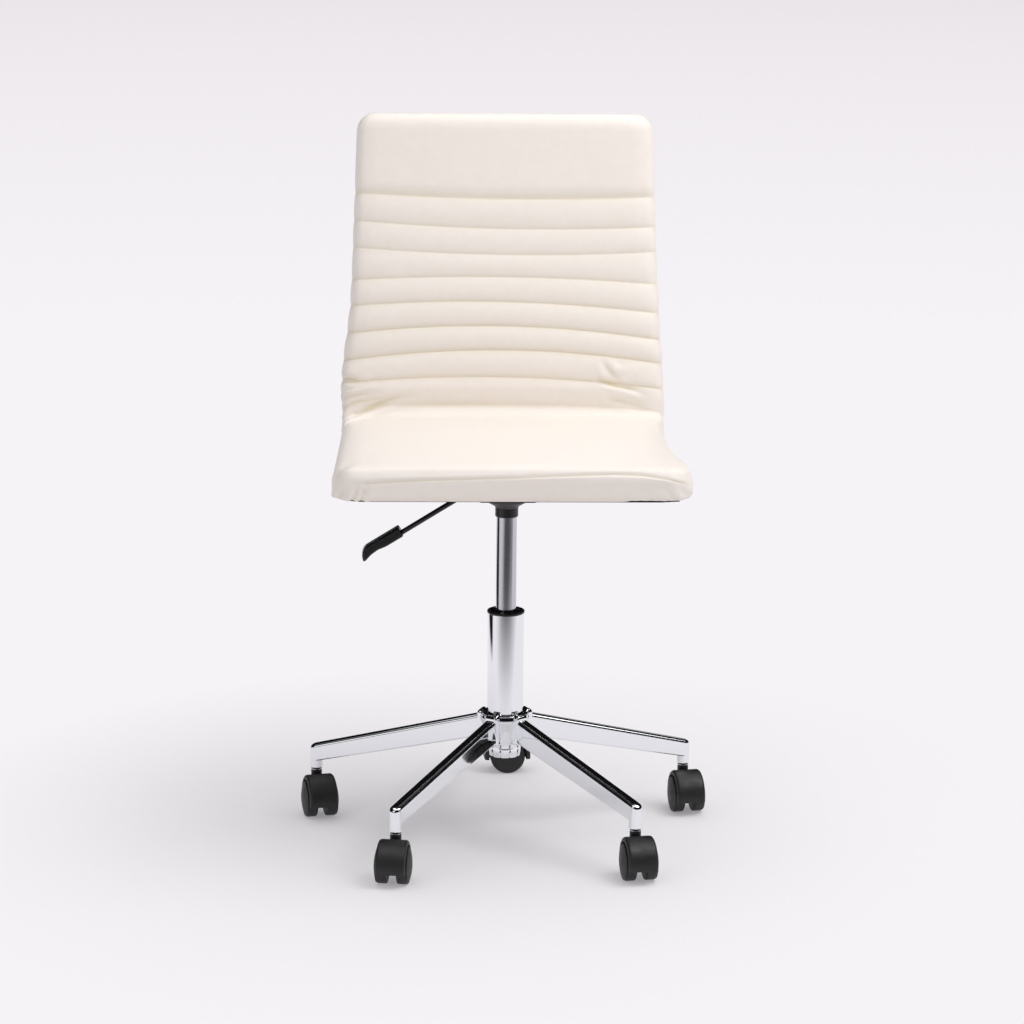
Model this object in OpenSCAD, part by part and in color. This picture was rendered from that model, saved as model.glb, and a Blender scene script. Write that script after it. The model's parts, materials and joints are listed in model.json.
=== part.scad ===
// Armless swivel chair with a ribbed one-piece seat and back on a chromed five-leg base.
// Sizes are millimetres. Z is up, the floor is z = 0, the column stands on the origin
// and the chair faces -Y. Leg and caster angles are counted from -Y towards +X.

/* [Base] */
// Turn of the five legs about the column
base_turn = 2.45; // [-36:0.05:36]
// Radius from the column to a caster's stem
stem_circle_r = 271; // [250:1:300]
// Width of a leg tube
leg_w = 17.5; // [16:0.5:19]
// Wall of a leg tube
leg_wall = 1.6; // [1:0.1:2.5]
// Radius along a leg tube's upper edges
leg_edge_r = 5; // [3:0.5:7]
// Height of a leg tube at the hub
leg_root_h = 32; // [28:0.5:36]
// Height of a leg tube at its outer end
leg_tip_h = 24.5; // [22:0.5:27]
// Drop of a leg's top face from the hub to its outer end
leg_drop = 62; // [50:1:75]
// Length of the tube that takes a caster's stem
socket_len = 35.5; // [32:0.5:40]
// Bore for a caster's stem
stem_bore_d = 11; // [10:0.5:12]
// Height of the hub
hub_h = 64; // [58:1:70]
// Outer diameter of the hub's lower ring
hub_ring_d = 46.4; // [45.5:0.2:50]
// Reach of the hub's five shoulders from the column
hub_reach = 38; // [34:0.5:42]

/* [Casters] */
// Diameter of a caster wheel
wheel_d = 50; // [44:1:60]
// Width across a caster's two domed wheels
caster_w = 50.5; // [46:0.5:54]
// Gap between a caster's two wheels
wheel_gap = 13.5; // [12:0.5:16]
// Distance from the stem to the wheels' axle
trail = 22; // [18:0.5:24]
// Width of the hood over the wheels
hood_w = 36; // [30:1:40]
// Thickness of the hood
hood_t = 3; // [2:0.5:4]
// Running gap between the tread and the hood
hood_gap = 3; // [2:0.5:4]
// Height of the hood's ends above the floor
hood_tip_z = 14; // [10:0.5:18]
// Diameter of the axle
axle_d = 8; // [6:0.5:9]

/* [Column] */
// Outer diameter of the column tube
tube_d = 50; // [48:0.5:52]
// Length of the column tube
tube_len = 196.5; // [180:0.5:215]
// Wall of the column tube
tube_wall = 1.8; // [1.5:0.1:2.5]
// Diameter of the gas cylinder
cyl_d = 28; // [27:0.5:30]
// Length of cylinder that shows in the position drawn
cyl_shown = 129; // [120:1:140]
// Travel of the seat height
stroke = 115; // [80:1:115]
// Diameter of the piston rod
rod_d = 10; // [8:0.5:11]

/* [Seat plate and lever] */
// Width of the pressed channel under the seat
channel_w = 83; // [78:1:90]
// Length of the channel from front to back
channel_len = 110; // [90:1:130]
// Depth of the channel
channel_h = 49; // [46:1:54]
// Width of the plate that carries the seat
plate_w = 190; // [180:1:210]
// Length of the plate that carries the seat
plate_len = 160; // [150:1:180]
// Thickness of the plate
plate_t = 3; // [2:0.5:4]
// Spacing of the seat screws across the chair
screw_span_x = 156; // [140:1:164]
// Spacing of the seat screws from front to back
screw_span_y = 124; // [118:1:136]
// Diameter of the lever's rod
lever_d = 7; // [6:0.5:8]
// Slope of the lever below the horizontal
lever_droop = 31.9; // [20:0.1:40]
// Reach of the lever from its bend to its tip
lever_reach = 190; // [170:1:210]
// Width of the lever's grip from front to back
grip_w = 26; // [20:1:32]

/* [Seat and back] */
// Width of the seat at its front
seat_w = 466; // [450:1:480]
// Width of the back where it meets the seat
waist_w = 446; // [436:1:456]
// Width of the back at its top
back_top_w = 417; // [400:1:430]
// Front edge of the seat, ahead of the column
seat_front = 240; // [225:1:260]
// Height of the back above the crease, along its slope
back_len = 423.5; // [410:0.5:440]
// Lean of the back from the vertical
recline = 9.5; // [6:0.5:14]
// Thickness of the bent plywood shell
shell_t = 12; // [9:0.5:14]
// Outer radius of the shell's bend
bend_r = 80; // [76:1:86]
// Foam and cover in front of the shell, at the back
back_foam = 30; // [24:1:36]
// Foam and cover above the shell, at the seat
seat_foam = 21; // [18:0.5:26]
// Height of the seat's crown, near its front, above the crease
seat_crown = 15; // [8:0.5:18]
// Number of ribs sewn across the back
rib_count = 8; // [6:1:9]
// Distance between two seams of the back
rib_pitch = 35.8; // [30:0.2:38]
// Depth of a sewn seam
rib_depth = 7; // [3:0.5:9]

/* [Hidden] */

$fn = 96;
overrun = 1;
joint_gap = 0.3;
running_fit = 0.06;
leg_count = 5;
first_leg_angle = 36;
caster_turns = [9.8, 10.3, 95.3, 13.3, -8.7];

// Caster: everything stands on the wheels' radius
wheel_r = wheel_d / 2;
hood_in_r = wheel_r + hood_gap;
hood_out_r = hood_in_r + hood_t;
hood_top_z = wheel_r + hood_out_r;
hood_edge_r = 1.2;
neck_d = 15;
neck_rise = 4.7;
neck_top_z = hood_top_z + neck_rise;
web_play = 0.7;
web_w = wheel_gap - 2 * web_play;
wheel_edge_r = 4;
tread_edge_r = 1.3;
wheel_rim = 4.5;
wheel_disc = 3;
wheel_hub_d = 15;
wheel_rib_t = 1.6;
wheel_rib_count = 6;
dome_rise = 5.2;
dome_step = 0.9;
dome_step_w = 2;
axle_len = 39;
axle_chamfer = 0.8;

// Caster stem and its socket
flange_t = 1.5;
flange_d = 14;
flange_z = neck_top_z + joint_gap;
socket_z = flange_z + flange_t;
socket_d = leg_w;
socket_cap_r = 4;
socket_edge_r = 0.6;
stem_play = 0.4;
stem_d = stem_bore_d - stem_play;
stem_len = 22;
stem_chamfer = 1.2;
pivot_d = 8;
pivot_len = 24;
grip_t = 1.8;
grip_depth = 0.7;
grip_down = 3.5;
grip_gap_w = 2.5;
bore_spare = 2;

// Legs
leg_tip_top_z = socket_z + socket_len;
leg_root_top_z = leg_tip_top_z + leg_drop;
leg_bottom_r = 2;
leg_end_back = 4;
slice_t = 0.01;

// Hub
hub_rise = 8;
hub_top_z = leg_root_top_z + hub_rise;
hub_bottom_z = hub_top_z - hub_h;
hub_ring_h = 19;
hub_lip = 0.9;
hub_waist_step = 1;
hub_waist_r = hub_ring_d / 2 + hub_waist_step;
hub_edge_r = 2;
hub_shoulder_r = 6;
hub_shoulder_d = 62;
hub_shoulder_drop = 12;
hub_mouth_d = 57;
hub_mouth_drop = 3.5;
stub_margin = 1.25;
stub_w = leg_w + 2 * stub_margin;
stub_root = 20;
stub_corner_r = 3;
stub_top_r = 7;
stub_drop = 3;

// Column tube, pressed into the hub by its taper
tube_r = tube_d / 2;
tube_seat = 4;
tube_floor = 3;
tube_bottom_z = hub_bottom_z + tube_seat;
tube_top_z = tube_bottom_z + tube_len;
tube_inner_r = tube_r - tube_wall;
taper_in = 4;
taper_end_r = tube_r - taper_in;
rod_r = rod_d / 2;
rod_play = 1;

// Guide bush in the tube's mouth
bush_len = 74;
bush_brim = 0.7;
bush_flange_r = tube_r + bush_brim;
bush_flange_h = 4.5;
bush_edge_r = 1.2;
bush_end_r = 0.8;
bush_lip_r = 0.6;
bush_recess_r = 0.4;
bush_lip = 4;
bush_recess = 1.2;
bush_top_z = tube_top_z + bush_flange_h;
cyl_r = cyl_d / 2;

// Thrust bearing, stop and clip at the foot of the piston rod
race_t = 1.5;
race_d = 26;
race_bore_d = 12;
ball_d = 4;
ball_play = 0.1;
ball_circle_r = 9.2;
ball_count = 10;
cage_t = 1;
cage_in_r = 7;
cage_out_r = 11.6;
race_z = tube_bottom_z + tube_floor;
upper_race_z = race_z + race_t + ball_d + 2 * ball_play;
rod_flange_z = upper_race_z + race_t;
rod_flange_t = 2.8;
rod_flange_d = 18;
stop_z = rod_flange_z + rod_flange_t;
stop_h = 6;
stop_d = 22;
stop_edge_r = 1;
stop_waist = 1.5;
stop_waist_r = 2;
clip_t = 1.2;
clip_d = 19;
clip_slot_share = 0.84;
clip_top_z = tube_bottom_z - joint_gap;
groove_depth = 1;
rod_end_lift = 0.5;
rod_end_z = hub_bottom_z + rod_end_lift;
rod_len = 168;
piston_h = 12;
piston_play = 0.3;

// Gas cylinder, with its taper in the seat plate's socket
collar_z = bush_top_z + cyl_shown;
collar_h = 12.5;
collar_d = 31.5;
collar_edge_r = 1;
cyl_bottom_z = stop_z + stop_h + joint_gap + stroke;
cyl_wall = 2;
cyl_end_t = 12;
cyl_edge_r = 1.5;
cyl_taper_z = collar_z + collar_h;
cyl_taper_len = 23.5;
cyl_taper_in = 1.2;
cyl_tip_r = cyl_r - cyl_taper_in;
cyl_top_z = cyl_taper_z + cyl_taper_len;
valve_depth = 26;
valve_z = cyl_top_z - valve_depth;
valve_pin_d = 6;
valve_pin_shown = 6.2;
valve_pin_len = 27;
valve_pin_foot_r = 0.5;
valve_pin_tip_r = 1.2;

// Seat plate: taper socket, channel and flange
cone_h = 9;
cone_foot_d = 32;
cone_top_d = 47;
taper_wall = 3;
channel_z = cyl_taper_z + cone_h;
channel_t = 2.5;
channel_r = 6;
plate_z = channel_z + channel_h;
plate_corner_r = 14;
plate_top_z = plate_z + plate_t;
ear_t = 3;
ear_w = 12;
ear_rise = 7;
ear_gap = 0.3;

// Lever, its pivot and the slot in the channel's side
lever_r = lever_d / 2;
lever_bend_x = 36;
elbow_r = 14;
elbow_reach = elbow_r * tan(lever_droop / 2);
pivot_x = 30;
pivot_pin_d = 5;
pivot_eye_d = 12;
pivot_eye_w = 8;
lever_z = cyl_top_z + valve_pin_shown + joint_gap + lever_r;
lever_inner = 6;
slot_w = 12;
slot_down = 10;
slot_up = 6;
grip_len = 65;
grip_start = lever_reach - grip_len;
grip_top = 10.2;
grip_under = 4.2;
grip_hook = 6.4;
grip_corner_r = 1.6;
grip_edge_r = 0.8;
grip_bend_r = 8;
grip_plan_r = 6;
grip_bore_len = 48;

// Screws, washers and tee nuts
screw_d = 6;
screw_head_af = 10;
screw_head_h = 4;
screw_play = 0.6;
washer_d = 12;
washer_t = 1.4;
tee_d = 8;
tee_len = 9;
tee_flange_d = 18;
tee_flange_t = 1.3;

// Shell, bent once; all the upholstery is measured from its outer face
dust_t = 1.5;
skin_t = 2.5;
rim_w = 14;
shell_play = 2;
shell_fit = 0.1;
cover_edge = 6;
shell_z = plate_top_z + dust_t;
bend_steps = 24;
taper_over_share = 0.02;
bend_y = 147;
bend_z = shell_z + bend_r;
bend_turn = 90 - recline;
shell_front_gap = 18;
recess_front = -seat_front + shell_front_gap;
shell_corner_r = 35;
shell_top_corner_r = 18;
shell_top_gap = 13;

// Crease between seat and back
crease_turn = 31.8;
crease_rise = 44;
crease_t = 21.2;
front_round_top = 45;
front_round_bottom = 8;
front_step = 3;
front_corner_r = 38;
top_corner_r = 25;
lumbar_rise = 6;
lumbar_share = 0.28;
lumbar_spread_share = 0.25;
waist_notch = 2;
first_seam = 18;
front_mid_share = 0.67;
crown_turn = 118;
seam_phase_shares = [0, 0.2, 0.5, 0.8];
seam_form_shares = [0, 0.72, 1, 0.72];

// Side and front of a cross-section: share of the half width, share of the thickness
section_shares = [
    [0.97, 0], [0.993, 0.07], [1, 0.2], [0.99, 0.42], [0.995, 0.62],
    [0.97, 0.8], [0.9, 0.9], [0.75, 0.955], [0.5, 0.985], [0.25, 0.997], [0, 1]
];

// Lever grip's outline in its side view: share of the length, then the size across the rod
grip_outline = [
    [0, grip_top, grip_edge_r], [0.8, grip_top, 3 * grip_edge_r],
    [0.925, grip_top * 0.6, 2 * grip_edge_r], [1, -grip_hook * 0.4, 2 * grip_edge_r],
    [0.985, -grip_hook, grip_edge_r], [0.8, -grip_under * 0.8, grip_bend_r],
    [0.62, -grip_under * 0.5, grip_bend_r], [0.44, -grip_under, grip_bend_r / 2],
    [0.05, -grip_under, grip_edge_r], [0, -grip_under * 0.2, grip_edge_r]
];

function leg_angle(k) = base_turn + first_leg_angle + (k - 1) * 360 / leg_count;
function outward(a) = [sin(a), -cos(a)];
function stem_point(k) = stem_circle_r * outward(leg_angle(k));
function turned(a, b) = let (d = b - a) d > 180 ? d - 360 : d < -180 ? d + 360 : d;

// Points of the arc of radius r that rounds the corner b between a and c
function round_corner(a, b, c, r, n = 8) =
    r <= 0 ? [b] :
    let (
        u = (a - b) / norm(a - b),
        v = (c - b) / norm(c - b),
        half = acos(u * v) / 2,
        centre = b + (u + v) / norm(u + v) * r / sin(half),
        from = b + u * r / tan(half) - centre,
        to = b + v * r / tan(half) - centre,
        start = atan2(from.y, from.x),
        sweep = turned(start, atan2(to.y, to.x))
    )
    [for (i = [0:n]) centre + r * [cos(start + sweep * i / n), sin(start + sweep * i / n)]];

// A polygon's corners, each [x, y, radius], made round
function rounded(p, n = 8) = let (m = len(p)) [
    for (i = [0:m - 1])
        for (q = round_corner(flat(p[(i + m - 1) % m]), flat(p[i]), flat(p[(i + 1) % m]), p[i][2], n)) q
];
function flat(p) = [p[0], p[1]];

// A rectangle about x = 0 from y0 to y1, with a corner radius at each end
function block(w, y0, y1, r0, r1) =
    [[-w / 2, y0, r0], [w / 2, y0, r0], [w / 2, y1, r1], [-w / 2, y1, r1]];

module on_leg(k) rotate([0, 0, leg_angle(k) - 90]) children();
module on_caster(k) translate(stem_point(k)) rotate([0, 0, caster_turns[k - 1] - 90]) children();
module on_axle() translate([trail, 0, wheel_r]) rotate([-90, 0, 0]) children();

// Side view to solid: x stays, y becomes height, and the width is centred on y = 0
module side_slab(w) rotate([90, 0, 0]) linear_extrude(w, center = true) children();

module ring(r_in, r_out, z, h) translate([0, 0, z]) difference() {
    cylinder(r = r_out, h = h);
    translate([0, 0, -overrun]) cylinder(r = r_in, h = h + 2 * overrun);
}

// Tube and hub share this cone
module column_cone() translate([0, 0, tube_bottom_z])
    cylinder(r1 = taper_end_r, r2 = tube_r, h = hub_top_z - hub_mouth_drop - tube_bottom_z);

module hub_body() rotate_extrude() polygon(rounded([
    [0, hub_bottom_z, 0], [hub_ring_d / 2, hub_bottom_z, hub_edge_r],
    [hub_ring_d / 2, hub_bottom_z + hub_ring_h, 0],
    [hub_ring_d / 2 + hub_lip, hub_bottom_z + hub_ring_h + hub_lip, 0],
    [hub_waist_r, hub_bottom_z + hub_ring_h + 3 * hub_lip, 0],
    [hub_shoulder_d / 2, hub_top_z - hub_shoulder_drop, hub_shoulder_r],
    [hub_mouth_d / 2, hub_top_z - hub_mouth_drop, hub_edge_r], [0, hub_top_z - hub_mouth_drop, 0]
]));

// Shoulder that meets a leg: its plan cut by its side view
module hub_stub() intersection() {
    linear_extrude(hub_top_z + overrun)
        rotate(-90) polygon(rounded(block(stub_w, stub_root, hub_reach, 0, stub_corner_r)));
    side_slab(stub_w + overrun) polygon(rounded([
        [0, leg_root_top_z - leg_root_h - stub_drop, 0],
        [hub_reach, leg_root_top_z - leg_root_h - stub_drop, stub_corner_r],
        [hub_reach, hub_top_z, stub_top_r], [0, hub_top_z, 0]
    ]));
}

module base_hub() color("gainsboro") difference() {
    union() {
        hub_body();
        for (k = [1:leg_count]) on_leg(k) hub_stub();
    }
    translate([0, 0, hub_bottom_z - overrun]) cylinder(r = taper_end_r, h = tube_seat + 2 * overrun);
    column_cone();
    translate([0, 0, hub_top_z - hub_mouth_drop - overrun])
        cylinder(r = tube_r, h = hub_rise + hub_mouth_drop);
}

// Upright slice of a leg tube at a distance from the column
module leg_slice(x, top, h, inset) translate([x, 0, 0]) rotate([90, 0, 90]) linear_extrude(slice_t)
    polygon(rounded(block(
        leg_w - 2 * inset, top - h + inset, top - inset,
        max(leg_bottom_r - inset, inset / 2), leg_edge_r - inset
    ), 6));

module leg_bar(inset, extra) hull() {
    leg_slice(hub_reach - extra, leg_root_top_z + extra * leg_drop / stem_circle_r, leg_root_h, inset);
    leg_slice(stem_circle_r - leg_end_back + extra, leg_tip_top_z, leg_tip_h, inset);
}

module base_leg(k) color("gainsboro") on_leg(k) difference() {
    leg_bar(0, 0);
    leg_bar(leg_wall, overrun);
    translate([stem_circle_r, 0, 0]) cylinder(d = socket_d, h = leg_root_top_z);
}

module leg_socket(k) color("gainsboro") translate(stem_point(k)) difference() {
    rotate_extrude() polygon(rounded([
        [0, socket_z, 0], [socket_d / 2, socket_z, socket_edge_r],
        [socket_d / 2, leg_tip_top_z, socket_cap_r], [0, leg_tip_top_z, 0]
    ]));
    translate([0, 0, socket_z - overrun]) cylinder(d = stem_bore_d, h = stem_len + bore_spare + overrun);
}

module stem() difference() {
    rotate_extrude() polygon(rounded([
        [0, flange_z - pivot_len, 0], [pivot_d / 2, flange_z - pivot_len, axle_chamfer],
        [pivot_d / 2, flange_z, 0], [flange_d / 2, flange_z, 0], [flange_d / 2, socket_z, 0],
        [stem_d / 2, socket_z, 0], [stem_d / 2, socket_z + stem_len, stem_chamfer],
        [0, socket_z + stem_len, 0]
    ]));
    ring(stem_d / 2 - grip_depth, stem_d / 2 + overrun, socket_z + stem_len - grip_down - grip_t, grip_t);
}

module caster_stems() color("silver") for (k = [1:leg_count]) translate(stem_point(k)) stem();

module grip_ring() difference() {
    ring(stem_d / 2 - grip_depth, stem_bore_d / 2, socket_z + stem_len - grip_down - grip_t, grip_t);
    translate([0, -grip_gap_w / 2, socket_z]) cube([stem_bore_d, grip_gap_w, stem_len + overrun]);
}

module stem_grip_rings() color("dimgray") for (k = [1:leg_count]) on_caster(k) grip_ring();

module column_tube() color("gainsboro") rotate_extrude() polygon([
    [rod_r + rod_play, tube_bottom_z], [taper_end_r, tube_bottom_z],
    [tube_r, hub_top_z - hub_mouth_drop], [tube_r, tube_top_z], [tube_inner_r, tube_top_z],
    [tube_inner_r, hub_top_z - hub_mouth_drop], [taper_end_r - tube_wall, race_z],
    [rod_r + rod_play, race_z]
]);

module guide_bush() color("black") rotate_extrude() polygon(rounded([
    [cyl_r + running_fit, tube_top_z - bush_len, bush_end_r],
    [tube_inner_r, tube_top_z - bush_len, bush_end_r],
    [tube_inner_r, tube_top_z, 0], [bush_flange_r, tube_top_z, 0],
    [bush_flange_r, bush_top_z, bush_edge_r], [bush_flange_r - bush_lip, bush_top_z, bush_lip_r],
    [bush_flange_r - bush_lip - bush_recess, bush_top_z - bush_recess, bush_lip_r],
    [cyl_r + running_fit, bush_top_z - bush_recess, bush_recess_r]
], 4));

module bearing_lower_race() color("silver") ring(race_bore_d / 2, race_d / 2, race_z, race_t);
module bearing_upper_race() color("silver") ring(rod_r, race_d / 2, upper_race_z, race_t);

module at_balls() for (i = [0:ball_count - 1]) rotate(i * 360 / ball_count)
    translate([ball_circle_r, 0, race_z + race_t + ball_play + ball_d / 2]) children();

module bearing_balls() color("silver") at_balls() sphere(d = ball_d, $fn = 32);

module ball_cage() color("goldenrod") difference() {
    ring(cage_in_r, cage_out_r, race_z + race_t + ball_play + (ball_d - cage_t) / 2, cage_t);
    at_balls() cylinder(d = ball_d + 2 * ball_play, h = ball_d, center = true, $fn = 32);
}

module piston_rod() color("silver") rotate_extrude() polygon([
    [0, rod_end_z], [rod_r - axle_chamfer, rod_end_z], [rod_r, rod_end_z + axle_chamfer],
    [rod_r, clip_top_z - clip_t], [rod_r - groove_depth, clip_top_z - clip_t],
    [rod_r - groove_depth, clip_top_z], [rod_r, clip_top_z],
    [rod_r, rod_flange_z], [rod_flange_d / 2, rod_flange_z], [rod_flange_d / 2, stop_z],
    [rod_r, stop_z], [rod_r, rod_end_z + rod_len - piston_h],
    [rod_r - groove_depth, rod_end_z + rod_len - piston_h],
    [rod_r - groove_depth, rod_end_z + rod_len], [0, rod_end_z + rod_len]
]);

module piston() color("dimgray") difference() {
    ring(rod_r - groove_depth, cyl_r - cyl_wall - piston_play, rod_end_z + rod_len - piston_h, piston_h);
    for (i = [1:2]) ring(
        cyl_r - cyl_wall - piston_play - groove_depth, cyl_r,
        rod_end_z + rod_len - piston_h + i * piston_h / 3 - clip_t / 2, clip_t
    );
}

module bump_stop() color("black") rotate_extrude() polygon(rounded([
    [rod_r, stop_z, 0], [stop_d / 2, stop_z, stop_edge_r],
    [stop_d / 2 - stop_waist, stop_z + stop_h / 2, stop_waist_r],
    [stop_d / 2, stop_z + stop_h, stop_edge_r], [rod_r, stop_z + stop_h, 0]
], 4));

// Horseshoe clip in the rod's groove
module retaining_clip() color("dimgray") difference() {
    ring(rod_r - groove_depth, clip_d / 2, clip_top_z - clip_t, clip_t);
    translate([0, -(rod_r - groove_depth) * clip_slot_share, clip_top_z - clip_t - overrun])
        cube([clip_d, 2 * (rod_r - groove_depth) * clip_slot_share, clip_t + 2 * overrun]);
}

module gas_cylinder() color("darkgray") rotate_extrude() polygon([
    [rod_r + running_fit, cyl_bottom_z], [cyl_r - cyl_edge_r, cyl_bottom_z],
    [cyl_r, cyl_bottom_z + cyl_edge_r], [cyl_r, cyl_taper_z], [cyl_tip_r, cyl_top_z],
    [valve_pin_d / 2 + running_fit, cyl_top_z], [valve_pin_d / 2 + running_fit, valve_z],
    [cyl_r - cyl_wall, valve_z], [cyl_r - cyl_wall, cyl_bottom_z + cyl_end_t],
    [rod_r + running_fit, cyl_bottom_z + cyl_end_t]
]);

module release_pin() color("silver") rotate_extrude() polygon(rounded([
    [0, cyl_top_z + valve_pin_shown - valve_pin_len, 0],
    [valve_pin_d / 2, cyl_top_z + valve_pin_shown - valve_pin_len, valve_pin_foot_r],
    [valve_pin_d / 2, cyl_top_z + valve_pin_shown, valve_pin_tip_r], [0, cyl_top_z + valve_pin_shown, 0]
], 5));

module cylinder_collar() color("black") rotate_extrude() polygon(rounded([
    [cyl_r, collar_z, 0], [collar_d / 2, collar_z, collar_edge_r],
    [collar_d / 2, cyl_taper_z, collar_edge_r / 2], [cyl_r, cyl_taper_z, 0]
], 4));

// Socket welded through the channel's floor, flared where it shows
module taper_socket() color("dimgray") rotate_extrude() polygon([
    [cyl_r, cyl_taper_z], [cone_foot_d / 2, cyl_taper_z], [cone_top_d / 2, channel_z],
    [cyl_r + taper_wall, channel_z], [cyl_tip_r + taper_wall, cyl_top_z - 2 * channel_t],
    [cyl_tip_r + (cyl_r - cyl_tip_r) * 2 * channel_t / cyl_taper_len, cyl_top_z - 2 * channel_t]
]);

module channel_profile(inset) polygon(rounded(
    block(channel_w - 2 * inset, channel_z + inset, plate_z + inset, channel_r - inset, 0), 6
));

module at_screws() for (x = [-1, 1], y = [-1, 1])
    translate([x * screw_span_x / 2, y * screw_span_y / 2, 0]) children();

module at_pivot() translate([-pivot_x, 0, lever_z]) rotate([90, 0, 0]) children();

module pivot_ear() translate([-pivot_x, 0, 0]) side_slab(ear_t) polygon(rounded([
    [-ear_w / 2, channel_z + channel_t, 0], [ear_w / 2, channel_z + channel_t, 0],
    [ear_w / 2, lever_z + ear_rise, ear_w / 2.2], [-ear_w / 2, lever_z + ear_rise, ear_w / 2.2]
], 6));

module seat_plate() color("dimgray") difference() {
    union() {
        difference() {
            side_slab(channel_len) channel_profile(0);
            side_slab(channel_len + 2 * overrun) channel_profile(channel_t);
        }
        translate([0, 0, plate_z]) linear_extrude(plate_t)
            polygon(rounded(block(plate_w, -plate_len / 2, plate_len / 2, plate_corner_r, plate_corner_r)));
        for (s = [-1, 1]) translate([0, s * (pivot_eye_w / 2 + ear_gap + ear_t / 2), 0]) pivot_ear();
    }
    translate([0, 0, channel_z - overrun]) cylinder(r = cyl_r + taper_wall, h = channel_t + 2 * overrun);
    at_pivot() cylinder(d = pivot_pin_d, h = channel_len, center = true);
    translate([-channel_w / 2 - overrun, -slot_w / 2, lever_z - slot_down])
        cube([channel_t + 2 * overrun, slot_w, slot_down + slot_up]);
    at_screws() translate([0, 0, plate_z - overrun])
        cylinder(d = screw_d + screw_play, h = plate_t + 2 * overrun);
}

module lever_pin() color("silver") at_pivot()
    cylinder(d = pivot_pin_d, h = pivot_eye_w + 2 * (ear_gap + ear_t + axle_chamfer), center = true);

// Frame of the sloping part of the lever: x runs out along the rod, z is square to it
module on_lever()
    translate([-lever_bend_x, 0, lever_z]) mirror([1, 0, 0]) rotate([0, lever_droop, 0]) children();

module lever_rod() color("black") difference() {
    union() {
        translate([elbow_reach - lever_bend_x, 0, lever_z]) rotate([0, 90, 0])
            cylinder(d = lever_d, h = lever_bend_x - elbow_reach + lever_inner);
        translate([elbow_reach - lever_bend_x, 0, lever_z - elbow_r]) rotate([90, 0, 0]) rotate([0, 0, 90])
            rotate_extrude(angle = lever_droop) translate([elbow_r, 0]) circle(d = lever_d);
        on_lever() translate([elbow_reach, 0, 0]) rotate([0, 90, 0])
            cylinder(d = lever_d, h = grip_start + grip_bore_len - elbow_reach);
        at_pivot() cylinder(d = pivot_eye_d, h = pivot_eye_w, center = true);
    }
    at_pivot()
        cylinder(d = pivot_pin_d + 2 * running_fit, h = pivot_eye_w + 2 * overrun, center = true);
}

module lever_grip() color("black") on_lever() difference() {
    intersection() {
        side_slab(grip_w + 2 * overrun) polygon(rounded([
            for (p = grip_outline) [grip_start + p[0] * grip_len, p[1], p[2]]
        ], 5));
        translate([0, 0, -grip_hook - overrun]) linear_extrude(grip_top + grip_hook + 2 * overrun)
            rotate(-90) polygon(rounded(block(
                grip_w, grip_start - overrun, lever_reach, grip_corner_r, grip_plan_r
            )));
    }
    rotate([0, 90, 0]) cylinder(d = lever_d, h = grip_start + grip_bore_len);
}

module plate_screws() color("silver") at_screws() {
    translate([0, 0, plate_z - washer_t - screw_head_h])
        cylinder(d = screw_head_af / cos(30), h = screw_head_h, $fn = 6);
    translate([0, 0, plate_z - washer_t]) cylinder(d = screw_d, h = washer_t + plate_t + dust_t + shell_t);
}

module spring_washers() color("silver") at_screws()
    ring(screw_d / 2, washer_d / 2, plate_z - washer_t, washer_t);

// A tee nut's barrel and flange, flush with the top of the shell
module tee_shape(over = 0) {
    translate([0, 0, shell_z + shell_t - tee_len]) cylinder(d = tee_d, h = tee_len);
    translate([0, 0, shell_z + shell_t - tee_flange_t]) cylinder(d = tee_flange_d, h = tee_flange_t + over);
}

module tee_nuts() color("silver") at_screws() difference() {
    tee_shape();
    translate([0, 0, shell_z]) cylinder(d = screw_d, h = shell_t + overrun);
}

function seat_half(y) = let (s = (bend_y - y) / (bend_y + seat_front))
    (waist_w + (seat_w - waist_w) * max(s, 0)) / 2;
function back_half(u) = (waist_w + (back_top_w - waist_w) * u / back_len) / 2;
function corner_cut(r, d) = d >= r ? 0 : r - sqrt(max(r * r - (r - d) * (r - d), 0));

// Frame of the back board: y runs up the shell's outer face from the bend, z points backwards
module on_back()
    translate([0, bend_y, bend_z]) rotate([90 + recline, 0, 180]) translate([0, 0, bend_r]) children();

// A board bent like the shell, in the side view: a line at a radius from the bend's centre
function radial(a) = [sin(a), -cos(a)];
bend_centre = [bend_y, bend_z];
back_run = back_len - crease_rise - shell_top_gap;
function bent_line(r, start_y, run) = concat(
    start_y < bend_y ? [[start_y, bend_z - r]] : [],
    [for (i = [0:bend_steps]) bend_centre + r * radial(bend_turn * i / bend_steps)],
    [bend_centre + r * radial(bend_turn) + run * [sin(recline), cos(recline)]]
);
function reversed(p) = [for (i = [len(p) - 1:-1:0]) p[i]];

// The board's plan, drawn in from the pads' sides by an edge: straight behind the bend
module seat_plan(edge, front, rear) polygon(rounded([
    [edge - waist_w / 2, rear, 0], [waist_w / 2 - edge, rear, 0], [waist_w / 2 - edge, bend_y, 0],
    [seat_half(front) - edge, front, shell_corner_r], [edge - seat_half(front), front, shell_corner_r],
    [edge - waist_w / 2, bend_y, 0]
]));

// Face of the board's back: tapered from the bend up, and clear of the seat's sides below it
module back_face(edge, run) {
    top = back_half(back_len) - edge;
    foot = waist_w / 2 - edge + (waist_w - back_top_w) / 2 * taper_over_share;
    polygon(rounded([
        [-seat_w, -seat_front, 0], [seat_w, -seat_front, 0], [foot, -run * taper_over_share, 0],
        [top, run, shell_top_corner_r], [-top, run, shell_top_corner_r], [-foot, -run * taper_over_share, 0]
    ]));
}

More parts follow.
